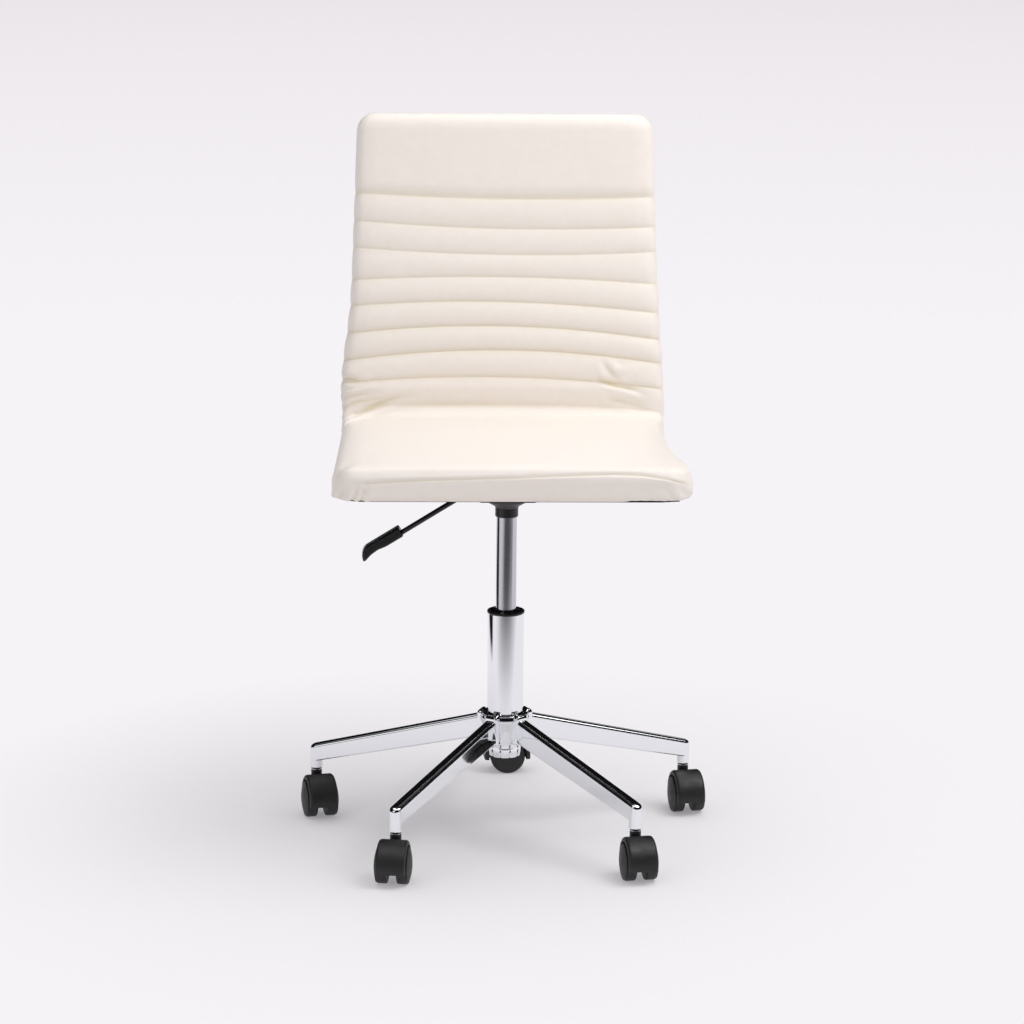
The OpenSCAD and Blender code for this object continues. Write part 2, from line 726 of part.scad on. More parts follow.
// Board of thickness t whose outer face lies `out` outside the shell's
module bent_board(out, t, edge, front, run) intersection() {
    rotate([90, 0, 90]) linear_extrude(seat_w, center = true) polygon(concat(
        bent_line(bend_r + out, front, run + overrun),
        reversed(bent_line(bend_r + out - t, front, run + overrun))
    ));
    linear_extrude(bend_z + back_len)
        seat_plan(edge, front < bend_y ? front : recess_front, bend_y + 2 * bend_r);
    on_back() translate([0, 0, -bend_y - seat_front - bend_r])
        linear_extrude(bend_y + seat_front + 2 * bend_r) back_face(edge, run);
}

module seat_shell() color("burlywood") difference() {
    bent_board(0, shell_t, rim_w + shell_play, recess_front + shell_play, back_run - shell_play);
    at_screws() {
        translate([0, 0, shell_z - overrun]) cylinder(d = tee_d, h = shell_t);
        tee_shape(overrun);
    }
}

module rear_panel() color("ivory")
    bent_board(skin_t + shell_fit, skin_t, cover_edge, bend_y, back_run + rim_w - cover_edge);

module dust_cover() color("black") difference() {
    translate([0, 0, shell_z - dust_t]) linear_extrude(dust_t)
        seat_plan(cover_edge, recess_front + cover_edge - rim_w, bend_y);
    at_screws() translate([0, 0, shell_z - dust_t - overrun])
        cylinder(d = screw_d + screw_play, h = dust_t + 2 * overrun);
}

// A station of a pad is [rear point, front point, half width, half width of the recess,
// roof point of the recess], its points in the side view
function bend_point(a, depth) = bend_centre + (bend_r - depth) * radial(a);
function bend_station(a, t, half, recess) =
    [bend_point(a, 0), bend_point(a, t), half, recess, bend_point(a, shell_t + shell_fit)];

seat_t = shell_t + seat_foam;
front_mid_z = shell_z + front_mid_share * seat_t;
front_turns = [20, 35, 50, 65, 80, 90];
seat_run_shares = [0, 0.1, 0.22, 0.36, 0.5, 0.64, 0.78, 0.9, 1];
function seat_top(y) = shell_z + seat_t
    + seat_crown * sin(crown_turn * min(max((bend_y - y) / (bend_y + seat_front), 0), 1));

// Front edge: both faces turn in to meet at the middle of the front
seat_front_stations = [for (a = front_turns) let (
        yt = -seat_front + front_round_top * (1 - cos(a)),
        yb = -seat_front + front_round_bottom * (1 - cos(a)),
        half = seat_half(yt) - corner_cut(front_corner_r, yt + seat_front)
    ) [[yb, front_mid_z - (front_mid_z - shell_z) * sin(a)],
       [yt, front_mid_z + (seat_top(yt) - front_mid_z) * sin(a)], half, 0]];
function seat_station(yb, y, recess) = [
    [yb, shell_z], [y, seat_top(y)], seat_half(y) - corner_cut(front_corner_r, y + seat_front),
    recess ? seat_half(yb) - rim_w : 0, [yb, shell_z + shell_t + shell_fit]
];
run_start = -seat_front + front_round_top;
seat_run_stations = concat(
    [seat_station(recess_front - 2 * joint_gap, run_start + front_step, false)],
    [for (s = seat_run_shares) let (
        from = recess_front - joint_gap,
        top_from = run_start + 2 * front_step
    ) seat_station(from + (bend_y - from) * s, top_from + (bend_y - top_from) * s, true)]
);
seat_bend_stations = [for (s = [1:3]) let (a = crease_turn * s / 3)
    bend_station(a, seat_t + (crease_t - seat_t) * s * s / 9, waist_w / 2, waist_w / 2 - rim_w)];

// Thickness of the back above the crease, with a soft swell at the waist
function back_t(u) = shell_t + back_foam
    + lumbar_rise * exp(-pow((u / back_len - lumbar_share) / lumbar_spread_share, 2));
function bend_t(u) = crease_t + (back_t(crease_rise) - crease_t) * sin(90 * u / crease_rise);
function along_back(u) =
    bend_centre + bend_r * radial(bend_turn) + (u - crease_rise) * [sin(recline), cos(recline)];
function back_station(u, dip, recess = true) =
    let (
        half = back_half(u) - waist_notch * dip / rib_depth,
        inner = recess ? back_half(u) - rim_w : 0
    )
    u < crease_rise
        ? let (a = crease_turn + (bend_turn - crease_turn) * u / crease_rise)
            bend_station(a, bend_t(u) - dip, half, inner)
        : let (rear = along_back(u), cut = corner_cut(top_corner_r, back_len - u))
            [rear, rear - (back_t(u) - dip) * radial(bend_turn), half - cut, inner,
             rear - (shell_t + shell_fit) * radial(bend_turn)];

last_seam = first_seam + rib_count * rib_pitch;
rib_stations = [for (i = [0:rib_count - 1], j = [0:3]) let (
        u = first_seam + (i + seam_phase_shares[j]) * rib_pitch
    ) back_station(u, rib_depth * (1 - seam_form_shares[j]))];
recess_end = back_len - shell_top_gap + joint_gap;
top_run_shares = [0, 0.08, 0.3, 0.6, 0.85, 1];
top_stations = [for (s = top_run_shares) back_station(
    last_seam + (recess_end - joint_gap - last_seam) * s, s == 0 ? rib_depth : 0)];

// Top edge: both faces turn in to meet
top_turns = [25, 45, 60, 75];
top_edge_stations = [for (a = top_turns) let (
        u = recess_end + (back_len - recess_end) * sin(a),
        s = back_station(u, 0, false),
        mid = (s[0] + s[1]) / 2
    ) [mid + (s[0] - mid) * cos(a), mid + (s[1] - mid) * cos(a), s[2], 0]];

// Closed ring of a station's points: the recess for the shell, then round by the side to the front.
// Where there is no recess, its corner lies on the rear face instead.
function ring_half(st) = let (
        open = st[3] > 0,
        roof = open ? st[4] : st[0],
        inner = open ? st[3] : st[2] - 2 * rim_w
    ) concat(
        [[0, roof], [inner - (open ? 0 : rim_w), roof], [inner, st[0]]],
        [for (p = section_shares) [st[2] * p[0], st[0] + (st[1] - st[0]) * p[1]]]
    );
function ring_points(st) = let (half = ring_half(st), n = len(half), m = 2 * n - 2) [for (i = [0:m - 1])
    let (right = i < n, p = half[right ? i : m - i]) [(right ? 1 : -1) * p[0], p[1].x, p[1].y]];

// One end of a loft is a plain face; the other, at the crease, goes round the shell
module loft(stations, open_first) {
    n = len(section_shares) + 3;
    m = 2 * n - 2;
    k = len(stations);
    last = (k - 1) * m;
    plain = [for (j = [0:m - 1]) if (j != n - 1 && j != n - 2) [n - 1, j, (j + 1) % m]];
    horseshoe = concat(
        [for (j = [2:n - 2]) [1, j, j + 1]], [[1, n - 1, 0], [m - 1, 0, n - 1]],
        [for (j = [n - 1:m - 3]) [m - 1, j, j + 1]]
    );
    polyhedron(
        points = [for (st = stations) each ring_points(st)],
        faces = concat(
            [for (i = [0:k - 2], j = [0:m - 1]) let (a = i * m + j, b = i * m + (j + 1) % m) each
                [[a, b, a + m], [b, b + m, a + m]]],
            [for (f = open_first ? horseshoe : plain) [f[0], f[2], f[1]]],
            [for (f = open_first ? plain : horseshoe) [last + f[0], last + f[1], last + f[2]]]
        )
    );
}

module seat_pad() color("ivory")
    loft(concat(seat_front_stations, seat_run_stations, seat_bend_stations), false);

module back_pad() color("ivory")
    loft(concat([back_station(0, 0)], rib_stations, top_stations, top_edge_stations), true);

module caster_housing(k) color("black") on_caster(k) difference() {
    union() {
        on_axle() rotate_extrude() polygon(rounded([
            [hood_in_r, -hood_w / 2, 0], [hood_out_r, -hood_w / 2, hood_edge_r],
            [hood_out_r, hood_w / 2, hood_edge_r], [hood_in_r, hood_w / 2, 0]
        ], 4));
        on_axle() cylinder(r = hood_in_r + hood_t / 2, h = web_w, center = true);
        difference() {
            translate([0, 0, wheel_r]) cylinder(d = neck_d, h = neck_top_z - wheel_r);
            on_axle() cylinder(r = hood_in_r, h = 2 * neck_d, center = true);
        }
    }
    translate([trail - hood_out_r - overrun, -hood_w, wheel_r - hood_out_r - overrun])
        cube([2 * (hood_out_r + overrun), 2 * hood_w, hood_tip_z - wheel_r + hood_out_r + overrun]);
    on_axle() cylinder(d = axle_d, h = web_w + 2 * overrun, center = true);
    translate([0, 0, flange_z - pivot_len - joint_gap])
        cylinder(d = pivot_d + 2 * running_fit, h = pivot_len + overrun);
}

module caster_axle(k) color("silver") on_caster(k) on_axle() rotate_extrude() polygon([
    [0, -axle_len / 2], [axle_d / 2 - axle_chamfer, -axle_len / 2],
    [axle_d / 2, -axle_len / 2 + axle_chamfer], [axle_d / 2, axle_len / 2 - axle_chamfer],
    [axle_d / 2 - axle_chamfer, axle_len / 2], [0, axle_len / 2]
]);

// Wheel about the axle, from the inner face outwards: tread, stepped rim and dome
dome_r = wheel_r - wheel_edge_r - dome_step_w;
dome_z = caster_w / 2 - dome_rise;
rim_z = dome_z - dome_step;
dome_curve_r = (dome_r * dome_r + dome_rise * dome_rise) / (2 * dome_rise);
dome_sweep = asin(dome_r / dome_curve_r);
function dome_arc(n) = [for (i = [0:n]) let (a = dome_sweep * (1 - i / n))
    [dome_curve_r * sin(a), caster_w / 2 - dome_curve_r * (1 - cos(a))]];

module wheel() {
    difference() {
        rotate_extrude() polygon(concat(
            [[0, wheel_gap / 2]],
            round_corner([0, wheel_gap / 2], [wheel_r, wheel_gap / 2], [wheel_r, rim_z], tread_edge_r, 4),
            round_corner([wheel_r, wheel_gap / 2], [wheel_r, rim_z], [0, rim_z], wheel_edge_r, 6),
            [[dome_r + dome_step, rim_z]],
            dome_arc(10)
        ));
        translate([0, 0, wheel_gap / 2 - overrun]) difference() {
            cylinder(r = wheel_r - wheel_rim, h = dome_z - wheel_disc - wheel_gap / 2 + overrun);
            translate([0, 0, -overrun]) cylinder(d = wheel_hub_d, h = caster_w);
        }
        translate([0, 0, wheel_gap / 2 - overrun])
            cylinder(d = axle_d + 2 * running_fit, h = (axle_len - wheel_gap) / 2 + overrun + joint_gap);
    }
    for (i = [0:wheel_rib_count - 1]) rotate(i * 360 / wheel_rib_count)
        translate([wheel_hub_d / 2 - wheel_rib_t, -wheel_rib_t / 2, wheel_gap / 2 + wheel_disc]) cube([
            wheel_r - wheel_rim - wheel_hub_d / 2 + 2 * wheel_rib_t, wheel_rib_t,
            dome_z - 2 * wheel_disc - wheel_gap / 2 + wheel_rib_t
        ]);
}

module wheel_left(k) color("black") on_caster(k) on_axle() wheel();
module wheel_right(k) color("black") on_caster(k) on_axle() rotate([180, 0, 0]) wheel();

base_hub();
base_leg(1);  // base_leg_1
base_leg(2);  // base_leg_2
base_leg(3);  // base_leg_3
base_leg(4);  // base_leg_4
base_leg(5);  // base_leg_5
leg_socket(1);  // leg_socket_1
leg_socket(2);  // leg_socket_2
leg_socket(3);  // leg_socket_3
leg_socket(4);  // leg_socket_4
leg_socket(5);  // leg_socket_5
caster_stems();
stem_grip_rings();
column_tube();
guide_bush();
bearing_lower_race();
bearing_balls();
ball_cage();
bearing_upper_race();
piston_rod();
piston();
bump_stop();
retaining_clip();
gas_cylinder();
cylinder_collar();
seat_plate();
taper_socket();
lever_pin();
plate_screws();
spring_washers();
tee_nuts();
seat_shell();
seat_pad();
back_pad();
rear_panel();
dust_cover();
lever_rod();
lever_grip();
release_pin();
caster_housing(1);  // caster_housing_1
caster_axle(1);  // caster_axle_1
wheel_left(1);  // wheel_left_1
wheel_right(1);  // wheel_right_1
caster_housing(2);  // caster_housing_2
caster_axle(2);  // caster_axle_2
wheel_left(2);  // wheel_left_2
wheel_right(2);  // wheel_right_2
caster_housing(3);  // caster_housing_3
caster_axle(3);  // caster_axle_3
wheel_left(3);  // wheel_left_3
wheel_right(3);  // wheel_right_3
caster_housing(4);  // caster_housing_4
caster_axle(4);  // caster_axle_4
wheel_left(4);  // wheel_left_4
wheel_right(4);  // wheel_right_4
caster_housing(5);  // caster_housing_5
caster_axle(5);  // caster_axle_5
wheel_left(5);  // wheel_left_5
wheel_right(5);  // wheel_right_5
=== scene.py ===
import json
import math

import bmesh
import bpy
import numpy as np
from mathutils import Matrix


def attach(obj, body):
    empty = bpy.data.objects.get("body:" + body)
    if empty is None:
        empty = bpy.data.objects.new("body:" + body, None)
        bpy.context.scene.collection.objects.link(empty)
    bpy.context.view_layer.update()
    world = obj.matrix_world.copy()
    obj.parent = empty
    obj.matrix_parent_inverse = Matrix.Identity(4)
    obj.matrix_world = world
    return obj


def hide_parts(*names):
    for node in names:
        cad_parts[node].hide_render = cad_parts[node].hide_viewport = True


# Office chair: ivory leatherette seat and back in one bend, gas lift, chromed star base on casters.
# All sizes below are millimetres in the part's own frame; meshes are written in metres.
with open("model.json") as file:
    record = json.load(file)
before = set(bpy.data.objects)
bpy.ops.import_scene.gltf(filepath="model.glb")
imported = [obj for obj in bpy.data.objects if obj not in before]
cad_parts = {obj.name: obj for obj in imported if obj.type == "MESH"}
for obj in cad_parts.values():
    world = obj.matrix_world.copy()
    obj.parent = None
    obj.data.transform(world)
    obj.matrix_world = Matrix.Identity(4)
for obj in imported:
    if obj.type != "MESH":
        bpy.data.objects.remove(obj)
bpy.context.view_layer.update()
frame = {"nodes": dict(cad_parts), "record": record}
print("frame loaded:", len(frame["nodes"]), "nodes")

# ---- Camera and stage

photoView = {
    "lens": 132.53,  # on Blender's 36 mm sensor
    "place": (-143.8, -4997.9, 1580.25),
    "heading": -1.73,  # degrees
    "tilt": 12.777,
    "roll": 0.51,
}


def inMetres(points):
    return np.asarray(points, float) * 0.001


def newObject(name, data):
    held = bpy.data.objects.new(name, data)
    bpy.context.scene.collection.objects.link(held)
    return held


cameraData = bpy.data.cameras.new("photoCamera")
cameraData.lens = photoView["lens"]
cameraData.clip_end = 80
camera = newObject("photoCamera", cameraData)
camera.matrix_world = (
    Matrix.Translation(inMetres(photoView["place"]))
    @ Matrix.Rotation(math.radians(photoView["heading"]), 4, "Z")
    @ Matrix.Rotation(math.radians(90 - photoView["tilt"]), 4, "X")
    @ Matrix.Rotation(math.radians(photoView["roll"]), 4, "Z")
)
bpy.context.scene.camera = camera
bpy.context.scene.view_settings.view_transform = "Standard"


# ---- Nodes and finishes


def hexColour(code, alpha=1.0):
    # sRGB hex to linear: each channel is c / 12.92 below 0.04045, else ((c + 0.055) / 1.055) ^ 2.4
    channels = [int(code[i : i + 2], 16) / 255 for i in (1, 3, 5)]
    return [c / 12.92 if c <= 0.04045 else ((c + 0.055) / 1.055) ** 2.4 for c in channels] + [alpha]


def addNode(tree, kind, inputs=None, **settings):
    node = tree.nodes.new("ShaderNode" + kind)
    for name, value in settings.items():
        setattr(node, name, value)
    for socket, value in (inputs or {}).items():
        if isinstance(value, bpy.types.NodeSocket):
            tree.links.new(value, node.inputs[socket])
        else:
            node.inputs[socket].default_value = value
    return node


def emptyTree(holder):
    # The node tree of a material or world, cleared of its first nodes
    holder.use_nodes = True
    holder.node_tree.nodes.clear()
    return holder.node_tree


def newFinish(name, colour, roughness, metallic=0.0, sockets=None):
    # A material with one Principled shader; returns what its pattern nodes need
    material = bpy.data.materials.new(name)
    tree = emptyTree(material)
    settings = {"Base Color": hexColour(colour), "Roughness": roughness, "Metallic": metallic}
    shader = addNode(tree, "BsdfPrincipled", settings | (sockets or {}))
    addNode(tree, "OutputMaterial", {"Surface": shader.outputs[0]})
    return material, tree, shader, addNode(tree, "TexCoord").outputs["Object"]


def noiseOf(tree, place, sizeMm, detail=2.0, roughness=0.5, stretch=None):
    # Noise whose blobs are sizeMm wide; stretch scales the coordinates first
    if stretch:
        place = addNode(tree, "Mapping", {"Vector": place, "Scale": stretch}).outputs[0]
    settings = {"Vector": place, "Scale": 1000 / sizeMm, "Detail": detail, "Roughness": roughness}
    return addNode(tree, "TexNoise", settings).outputs[0]


def edgesOf(tree, place, sizeMm, **sockets):
    # Distance to the edges of cells that are sizeMm wide
    settings = {"Vector": place, "Scale": 1000 / sizeMm} | sockets
    return addNode(tree, "TexVoronoi", settings, feature="DISTANCE_TO_EDGE").outputs["Distance"]


def bumpBy(tree, shader, height, depthMm, strength=1.0, under=None):
    inputs = {"Height": height, "Distance": depthMm / 1000, "Strength": strength}
    if under:
        inputs["Normal"] = under
    bump = addNode(tree, "Bump", inputs)
    tree.links.new(bump.outputs[0], shader.inputs["Normal"])
    return bump.outputs[0]


def spreadOf(tree, value, low, high, fromLow=0.35, fromHigh=0.65):
    # The value's range fromLow to fromHigh spread over low to high
    settings = {"Value": value, "From Min": fromLow, "From Max": fromHigh, "To Min": low, "To Max": high}
    return addNode(tree, "MapRange", settings).outputs[0]


def blendColours(tree, share, first, second):
    mix = addNode(tree, "Mix", {0: share}, data_type="RGBA")
    for socket, colour in ((6, first), (7, second)):
        if isinstance(colour, bpy.types.NodeSocket):
            tree.links.new(colour, mix.inputs[socket])
        else:
            mix.inputs[socket].default_value = hexColour(colour)
    return mix.outputs[2]


# Colour, roughness, a noise as pattern (mm, detail, roughness, stretch) and the bump's (depth in mm, strength).
# Over the pattern roughness may vary ("gloss") and colour ("tones"), and the bump may have its own "grain"
plainFinishes = {
    # Bright chromium over polished steel tube: mirror reflections, very slightly wavy from the polishing
    "chromePlate": ("#ECEEF1", 0.045, (22, 3), (0.05, 0.25), {
        "metallic": 1.0, "gloss": (0.035, 0.07), "grain": (30, 1),
    }),
    # Cylinder ground between centres: fine rings round it blur its reflections up and down
    "groundSteel": ("#C3C5C9", 0.14, (1.2, 3, 0.6, (0.15, 0.15, 6)), (0.012, 0.2), {
        "metallic": 1.0, "gloss": (0.11, 0.17),
    }),
    # Bare steel from the lathe: soft highlights broken by fine marks; and the same on tempered wire
    "turnedSteel": ("#B9BBBE", 0.3, (0.8, 4, 0.6), (0.01, 0.4), {"metallic": 1.0, "gloss": (0.24, 0.4)}),
    "springSteel": ("#5A5A5C", 0.38, (0.8, 4, 0.6), (0.01, 0.4), {"metallic": 1.0, "gloss": (0.32, 0.48)}),
    # Pressed brass sheet, slightly tarnished in patches
    "cageBrass": ("#C9A55C", 0.32, (3, 4), (0.01, 0.4), {"metallic": 1.0, "tones": ("#C9A55C", "#9C7B3E")}),
    # Glass-filled nylon from a spark-eroded mould: a broad grey sheen and an even matt grain; the real grain is
    # 0.3 mm, drawn coarser so that it shows
    "sparkNylon": ("#1B1B1C", 0.46, (9, 3), (0.05, 0.5), {
        "gloss": (0.46, 0.58), "tones": ("#121213", "#1A1A1B"), "grain": (0.7, 2), "sockets": {"IOR": 1.53},
    }),
    # Acetal and ABS from a polished mould: black with a soft clear highlight
    "mouldedBlack": ("#131314", 0.33, (6, 3), (0.02, 0.35), {
        "gloss": (0.28, 0.4), "grain": (1.1, 2), "sockets": {"IOR": 1.49},
    }),
    # Stoved enamel on the lever's rod: dark and glossy, with a little orange peel
    "stovedEnamel": ("#101012", 0.24, (1.6, 2), (0.03, 0.35), {
        "sockets": {"IOR": 1.52, "Coat Weight": 0.3, "Coat Roughness": 0.15},
    }),
    # Textured polyester powder on the pressed seat plate: fine leathery pimples
    "powderCoat": ("#4A4744", 0.52, (1.4, 2), (0.08, 0.6), {
        "tones": ("#3E3C3A", "#524F4C"), "sockets": {"IOR": 1.5},
    }),
    # Nitrile rubber: nearly black and dull
    "stopRubber": ("#19191A", 0.72, (0.9, 3), (0.04, 0.5), {"sockets": {"IOR": 1.52}}),
    # Rotary-cut beech plies: long grain with pale and dark bands
    "bentPlywood": ("#C9A273", 0.6, (5, 5, 0.6, (8, 0.4, 0.4)), (0.05, 0.4), {
        "tones": ("#B98D5C", "#DDBB8E"), "sockets": {"IOR": 1.5},
    }),
    # Bonded polyester thread, a shade darker than the skin
    "sewingThread": ("#E9E1CE", 0.6, (0.5, 2), (0.03, 0.5), {"sockets": {"IOR": 1.5}}),
}
leatherette = {
    "ivory": "#F3ECE4",
    "clouds": ("#F1E9E0", "#F6EFE7"),
    "groove": "#E3D8BF",  # painted shade: skin in the sewn grooves and the folds' cores is drawn darker and yellower, standing in for their shade and warm bounce light
    "grainMm": 1.1,
}
slotFinish = {
    "chrome": "chromePlate", "satin_steel": "groundSteel", "bright_steel": "turnedSteel",
    "spring_steel": "springSteel", "brass": "cageBrass", "black_plastic": "mouldedBlack", "nylon": "sparkNylon",
    "rubber": "stopRubber", "grey_powder_coat": "powderCoat", "black_enamel": "stovedEnamel",
    "plywood": "bentPlywood", "leather": "ivoryLeatherette", "padding": "ivoryLeatherette",
    "lining": "nonWoven",
}


def plainFinish(
    name, colour, roughness, pattern, bump, metallic=0.0, gloss=None, tones=None, grain=None, sockets=None
):
    _, tree, shader, place = newFinish(name, colour, roughness, metallic, sockets)
    pattern = noiseOf(tree, place, *pattern)
    if tones:
        tree.links.new(blendColours(tree, pattern, *tones), shader.inputs["Base Color"])
    if gloss:
        tree.links.new(spreadOf(tree, pattern, *gloss), shader.inputs["Roughness"])
    bumpBy(tree, shader, noiseOf(tree, place, *grain) if grain else pattern, *bump)


def nonWoven():
    # Spun-bonded polypropylene lining: black felt pressed with a grid of small points
    _, tree, shader, place = newFinish("nonWoven", "#161616", 0.88, sockets={"IOR": 1.49, "Sheen Weight": 0.15})
    fibres = noiseOf(tree, place, 0.8, 4, 0.7)
    tree.links.new(blendColours(tree, fibres, "#101010", "#242424"), shader.inputs["Base Color"])
    felt = bumpBy(tree, shader, fibres, 0.05, 0.5)
    bumpBy(tree, shader, edgesOf(tree, place, 2.0, Randomness=0.15), 0.1, 0.4, felt)


def ivoryLeatherette():
    # Polyurethane skin with a fine calf grain: a soft broad gloss, tiny cells and hair cracks between them
    _, tree, shader, place = newFinish("ivoryLeatherette", leatherette["ivory"], 0.44, sockets={"IOR": 1.46})
    cracks = spreadOf(tree, edgesOf(tree, place, leatherette["grainMm"]), 0.0, 1.0, 0.0, 0.22)
    clouds = noiseOf(tree, place, 12, 4)
    # Painted shade: the seamDepth attribute darkens and yellows the skin in the sewn grooves and the folds'
    # cores
    groove = addNode(tree, "Attribute", attribute_name="seamDepth").outputs["Fac"]
    cloudy = blendColours(tree, clouds, *leatherette["clouds"])
    tree.links.new(blendColours(tree, groove, cloudy, leatherette["groove"]), shader.inputs["Base Color"])
    tree.links.new(spreadOf(tree, clouds, 0.4, 0.5), shader.inputs["Roughness"])
    bumpBy(tree, shader, cracks, 0.08, 0.3, bumpBy(tree, shader, clouds, 0.5, 0.12))


for name, (*look, others) in plainFinishes.items():
    plainFinish(name, *look, **others)
nonWoven()
ivoryLeatherette()
print("finishes made")


# ---- Mesh tools


def roundedLine(corners, steps=8, closed=False):
    # Straight lines through (x, y, radius) corners, each corner swapped for the arc that touches both sides
    points = [np.array(corner[:2], float) for corner in corners]
    line = []
    for i, corner in enumerate(corners):
        radius = corner[2] if len(corner) > 2 else 0
        if radius <= 0 or (not closed and i in (0, len(corners) - 1)):
            line.append(points[i][None])
            continue
        back = points[i - 1] - points[i]
        ahead = points[(i + 1) % len(points)] - points[i]
        back, ahead = back / np.linalg.norm(back), ahead / np.linalg.norm(ahead)
        half = math.acos(np.clip(back @ ahead, -1, 1)) / 2
        centre = points[i] + (back + ahead) / np.linalg.norm(back + ahead) * radius / math.sin(half)
        start = points[i] + back * radius / math.tan(half) - centre
        end = points[i] + ahead * radius / math.tan(half) - centre
        first = math.atan2(start[1], start[0])
        sweep = (math.atan2(end[1], end[0]) - first + math.pi) % (2 * math.pi) - math.pi
        angle = first + sweep * np.linspace(0, 1, steps + 1)
        line.append(centre + radius * np.stack([np.cos(angle), np.sin(angle)], 1))
    return np.vstack(line)


def fullTurn(columns):
    return np.linspace(0, 2 * math.pi, columns, endpoint=False)


def runAlong(line, scale=1.0):
    # The distance run along a flat line at each of its points
    return np.concatenate([[0], np.cumsum(np.hypot(*(np.diff(line, axis=0) * scale).T))])


def sampled(line, run, spots):
    # The line's points at the distances in spots
    return np.stack([np.interp(spots, run, column) for column in line.T], -1)


def lookUp(table, x, column=1):
    # Straight lines between the rows of a table whose first column is x
    table = np.array(table, float)
    return np.interp(x, table[:, 0], table[:, column])


def ramp(x, start, end):
    # From 0 at the start to 1 at the end
    return np.clip((x - start) / (end - start), 0, 1)


def gridFaces(rows, columns, wrapRows=False):
    # Quads between neighbouring points of a grid whose rows go round
    i, j = np.meshgrid(np.arange(rows - (not wrapRows)), np.arange(columns), indexing="ij")
    nextRow, nextColumn = (i + 1) % rows, (j + 1) % columns
    row, nextRow = i * columns, nextRow * columns
    return np.stack([row + j, row + nextColumn, nextRow + nextColumn, nextRow + j], -1).reshape(-1, 4).tolist()


def joined(*parts):
    # Several (points, faces) shells as one
    points, faces, count = [], [], 0
    for partPoints, partFaces in parts:
        points.append(partPoints)
        faces += [[corner + count for corner in face] for face in partFaces]
        count += len(partPoints)
    return np.vstack(points), faces


def closedMesh(name, points, faces, sharp):
    # Merges doubles so that poles close, and turns every shell outwards
    mesh = bpy.data.meshes.new(name)
    mesh.from_pydata(inMetres(points).tolist(), [], faces)
    work = bmesh.new()
    work.from_mesh(mesh)
    bmesh.ops.remove_doubles(work, verts=work.verts, dist=2e-6)
    bmesh.ops.recalc_face_normals(work, faces=work.faces)
    work.to_mesh(mesh)
    work.free()
    mesh.shade_smooth()
    mesh.set_sharp_from_angle(angle=math.radians(sharp))
    return mesh


def addPiece(piece, body, slotName, *nodes, finish=None):
    piece.data.materials.append(bpy.data.materials[finish or slotFinish[slotName]])
    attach(piece, body)
    if nodes:
        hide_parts(*nodes)


def makePiece(name, shell, body, slotName, *nodes, sharp=38.0, finish=None):
    # A piece from a (points, faces) shell; edges steeper than sharp degrees stay hard
    piece = newObject(name, closedMesh(name, *shell, sharp))
    piece.modifiers.new("evenNormals", "WEIGHTED_NORMAL").keep_sharp = True
    addPiece(piece, body, slotName, *nodes, finish=finish)


def revolved(profile, columns=144, closed=True):
    # Profile points (radius, height) turned about the upright axis
    turn = fullTurn(columns)
    radius, height = profile[:, 0, None], profile[:, 1, None]
    points = np.stack([radius * np.cos(turn), radius * np.sin(turn), height + 0 * turn], -1)
    return points.reshape(-1, 3), gridFaces(len(profile), columns, wrapRows=closed)


def lofted(rings):
    # Closed rings (rows, points, 3) joined in order, with a flat face at each end
    rows, columns = rings.shape[:2]
    last = (rows - 1) * columns
    ends = [list(range(columns))[::-1], list(range(last, last + columns))]
    return rings.reshape(-1, 3), gridFaces(rows, columns) + ends


def tubeAlong(path, radius, columns=28):
    # A circle carried along a path in the plane y = 0, square to the path at each point
    path = np.asarray(path, float)
    ahead = np.gradient(path, axis=0)
    ahead /= np.linalg.norm(ahead, axis=1)[:, None]
    side = np.stack([-ahead[:, 2], 0 * ahead[:, 0], ahead[:, 0]], 1)
    turn = fullTurn(columns)[None, :, None]
    rings = path[:, None] + radius * (
        np.cos(turn) * side[:, None] + np.sin(turn) * np.array([0.0, 1.0, 0.0])
    )
    return lofted(rings)


# ---- Star base

starBase = {
    "turn": 2.45, "firstLeg": 36, "circle": 271, "legWidth": 17.5, "edge": 5.0, "underEdge": 2.0,
    "rootTop": 160.0, "rootHeight": 32, "tipTop": 99.6, "tipHeight": 24.5,
    "power": 9.0, "softness": 0.8, "dish": 162.6, "hubBore": 25.05, "cupRim": 168,
    "reach": 38, "lobeHalf": 10.2, "lobeFoot": 125.0, "lobeEdges": (3.0, 6.5),  # radius at its foot and top
    "socketFoot": 64.3, "socketRadius": 8.7, "socketTop": 77.0, "socketBore": 5.5, "boreDepth": 10.5,
    "collarFoot": 62.55, "collarRadius": 7.6, "circleSteps": 25,
    # outline of the cup as (radius, height, fillet), and the heights of the rows between its corners
    "cup": [(19.8, 104), (20.8, 104, 1.5), (22.2, 113, 26), (21.1, 122.0, 0.5), (24.6, 123.2, 0.5),
            (25.2, 126, 1), (28.6, 144, 20), (33.6, 158, 6), (32.6, 163.0, 2.2), (32.0, 164.2)],
    "rows": [(106.5, 121.2, 5), (124.4, 129, 9), (129, 156, 20), (156, 168, 22)],
}


def legAngle(k):
    return math.radians(starBase["turn"] + starBase["firstLeg"] + 72 * (k - 1))


def outward(angle):
    return np.array([math.sin(angle), -math.cos(angle), 0.0])


def placed(points, origin, angle):
    # Local x runs outwards at the angle, local y across it, z up
    along = outward(angle)
    across = np.array([-along[1], along[0], 0.0])
    return origin + points[:, :1] * along + points[:, 1:2] * across + points[:, 2:] * [0, 0, 1]


def softMax(a, b, fillet):
    # The larger of two values with a rounded change-over: fillet * ln(e^(a/fillet) + e^(b/fillet))
    top = np.maximum(a, b)
    return top + fillet * np.log(np.exp((a - top) / fillet) + np.exp((b - top) / fillet))


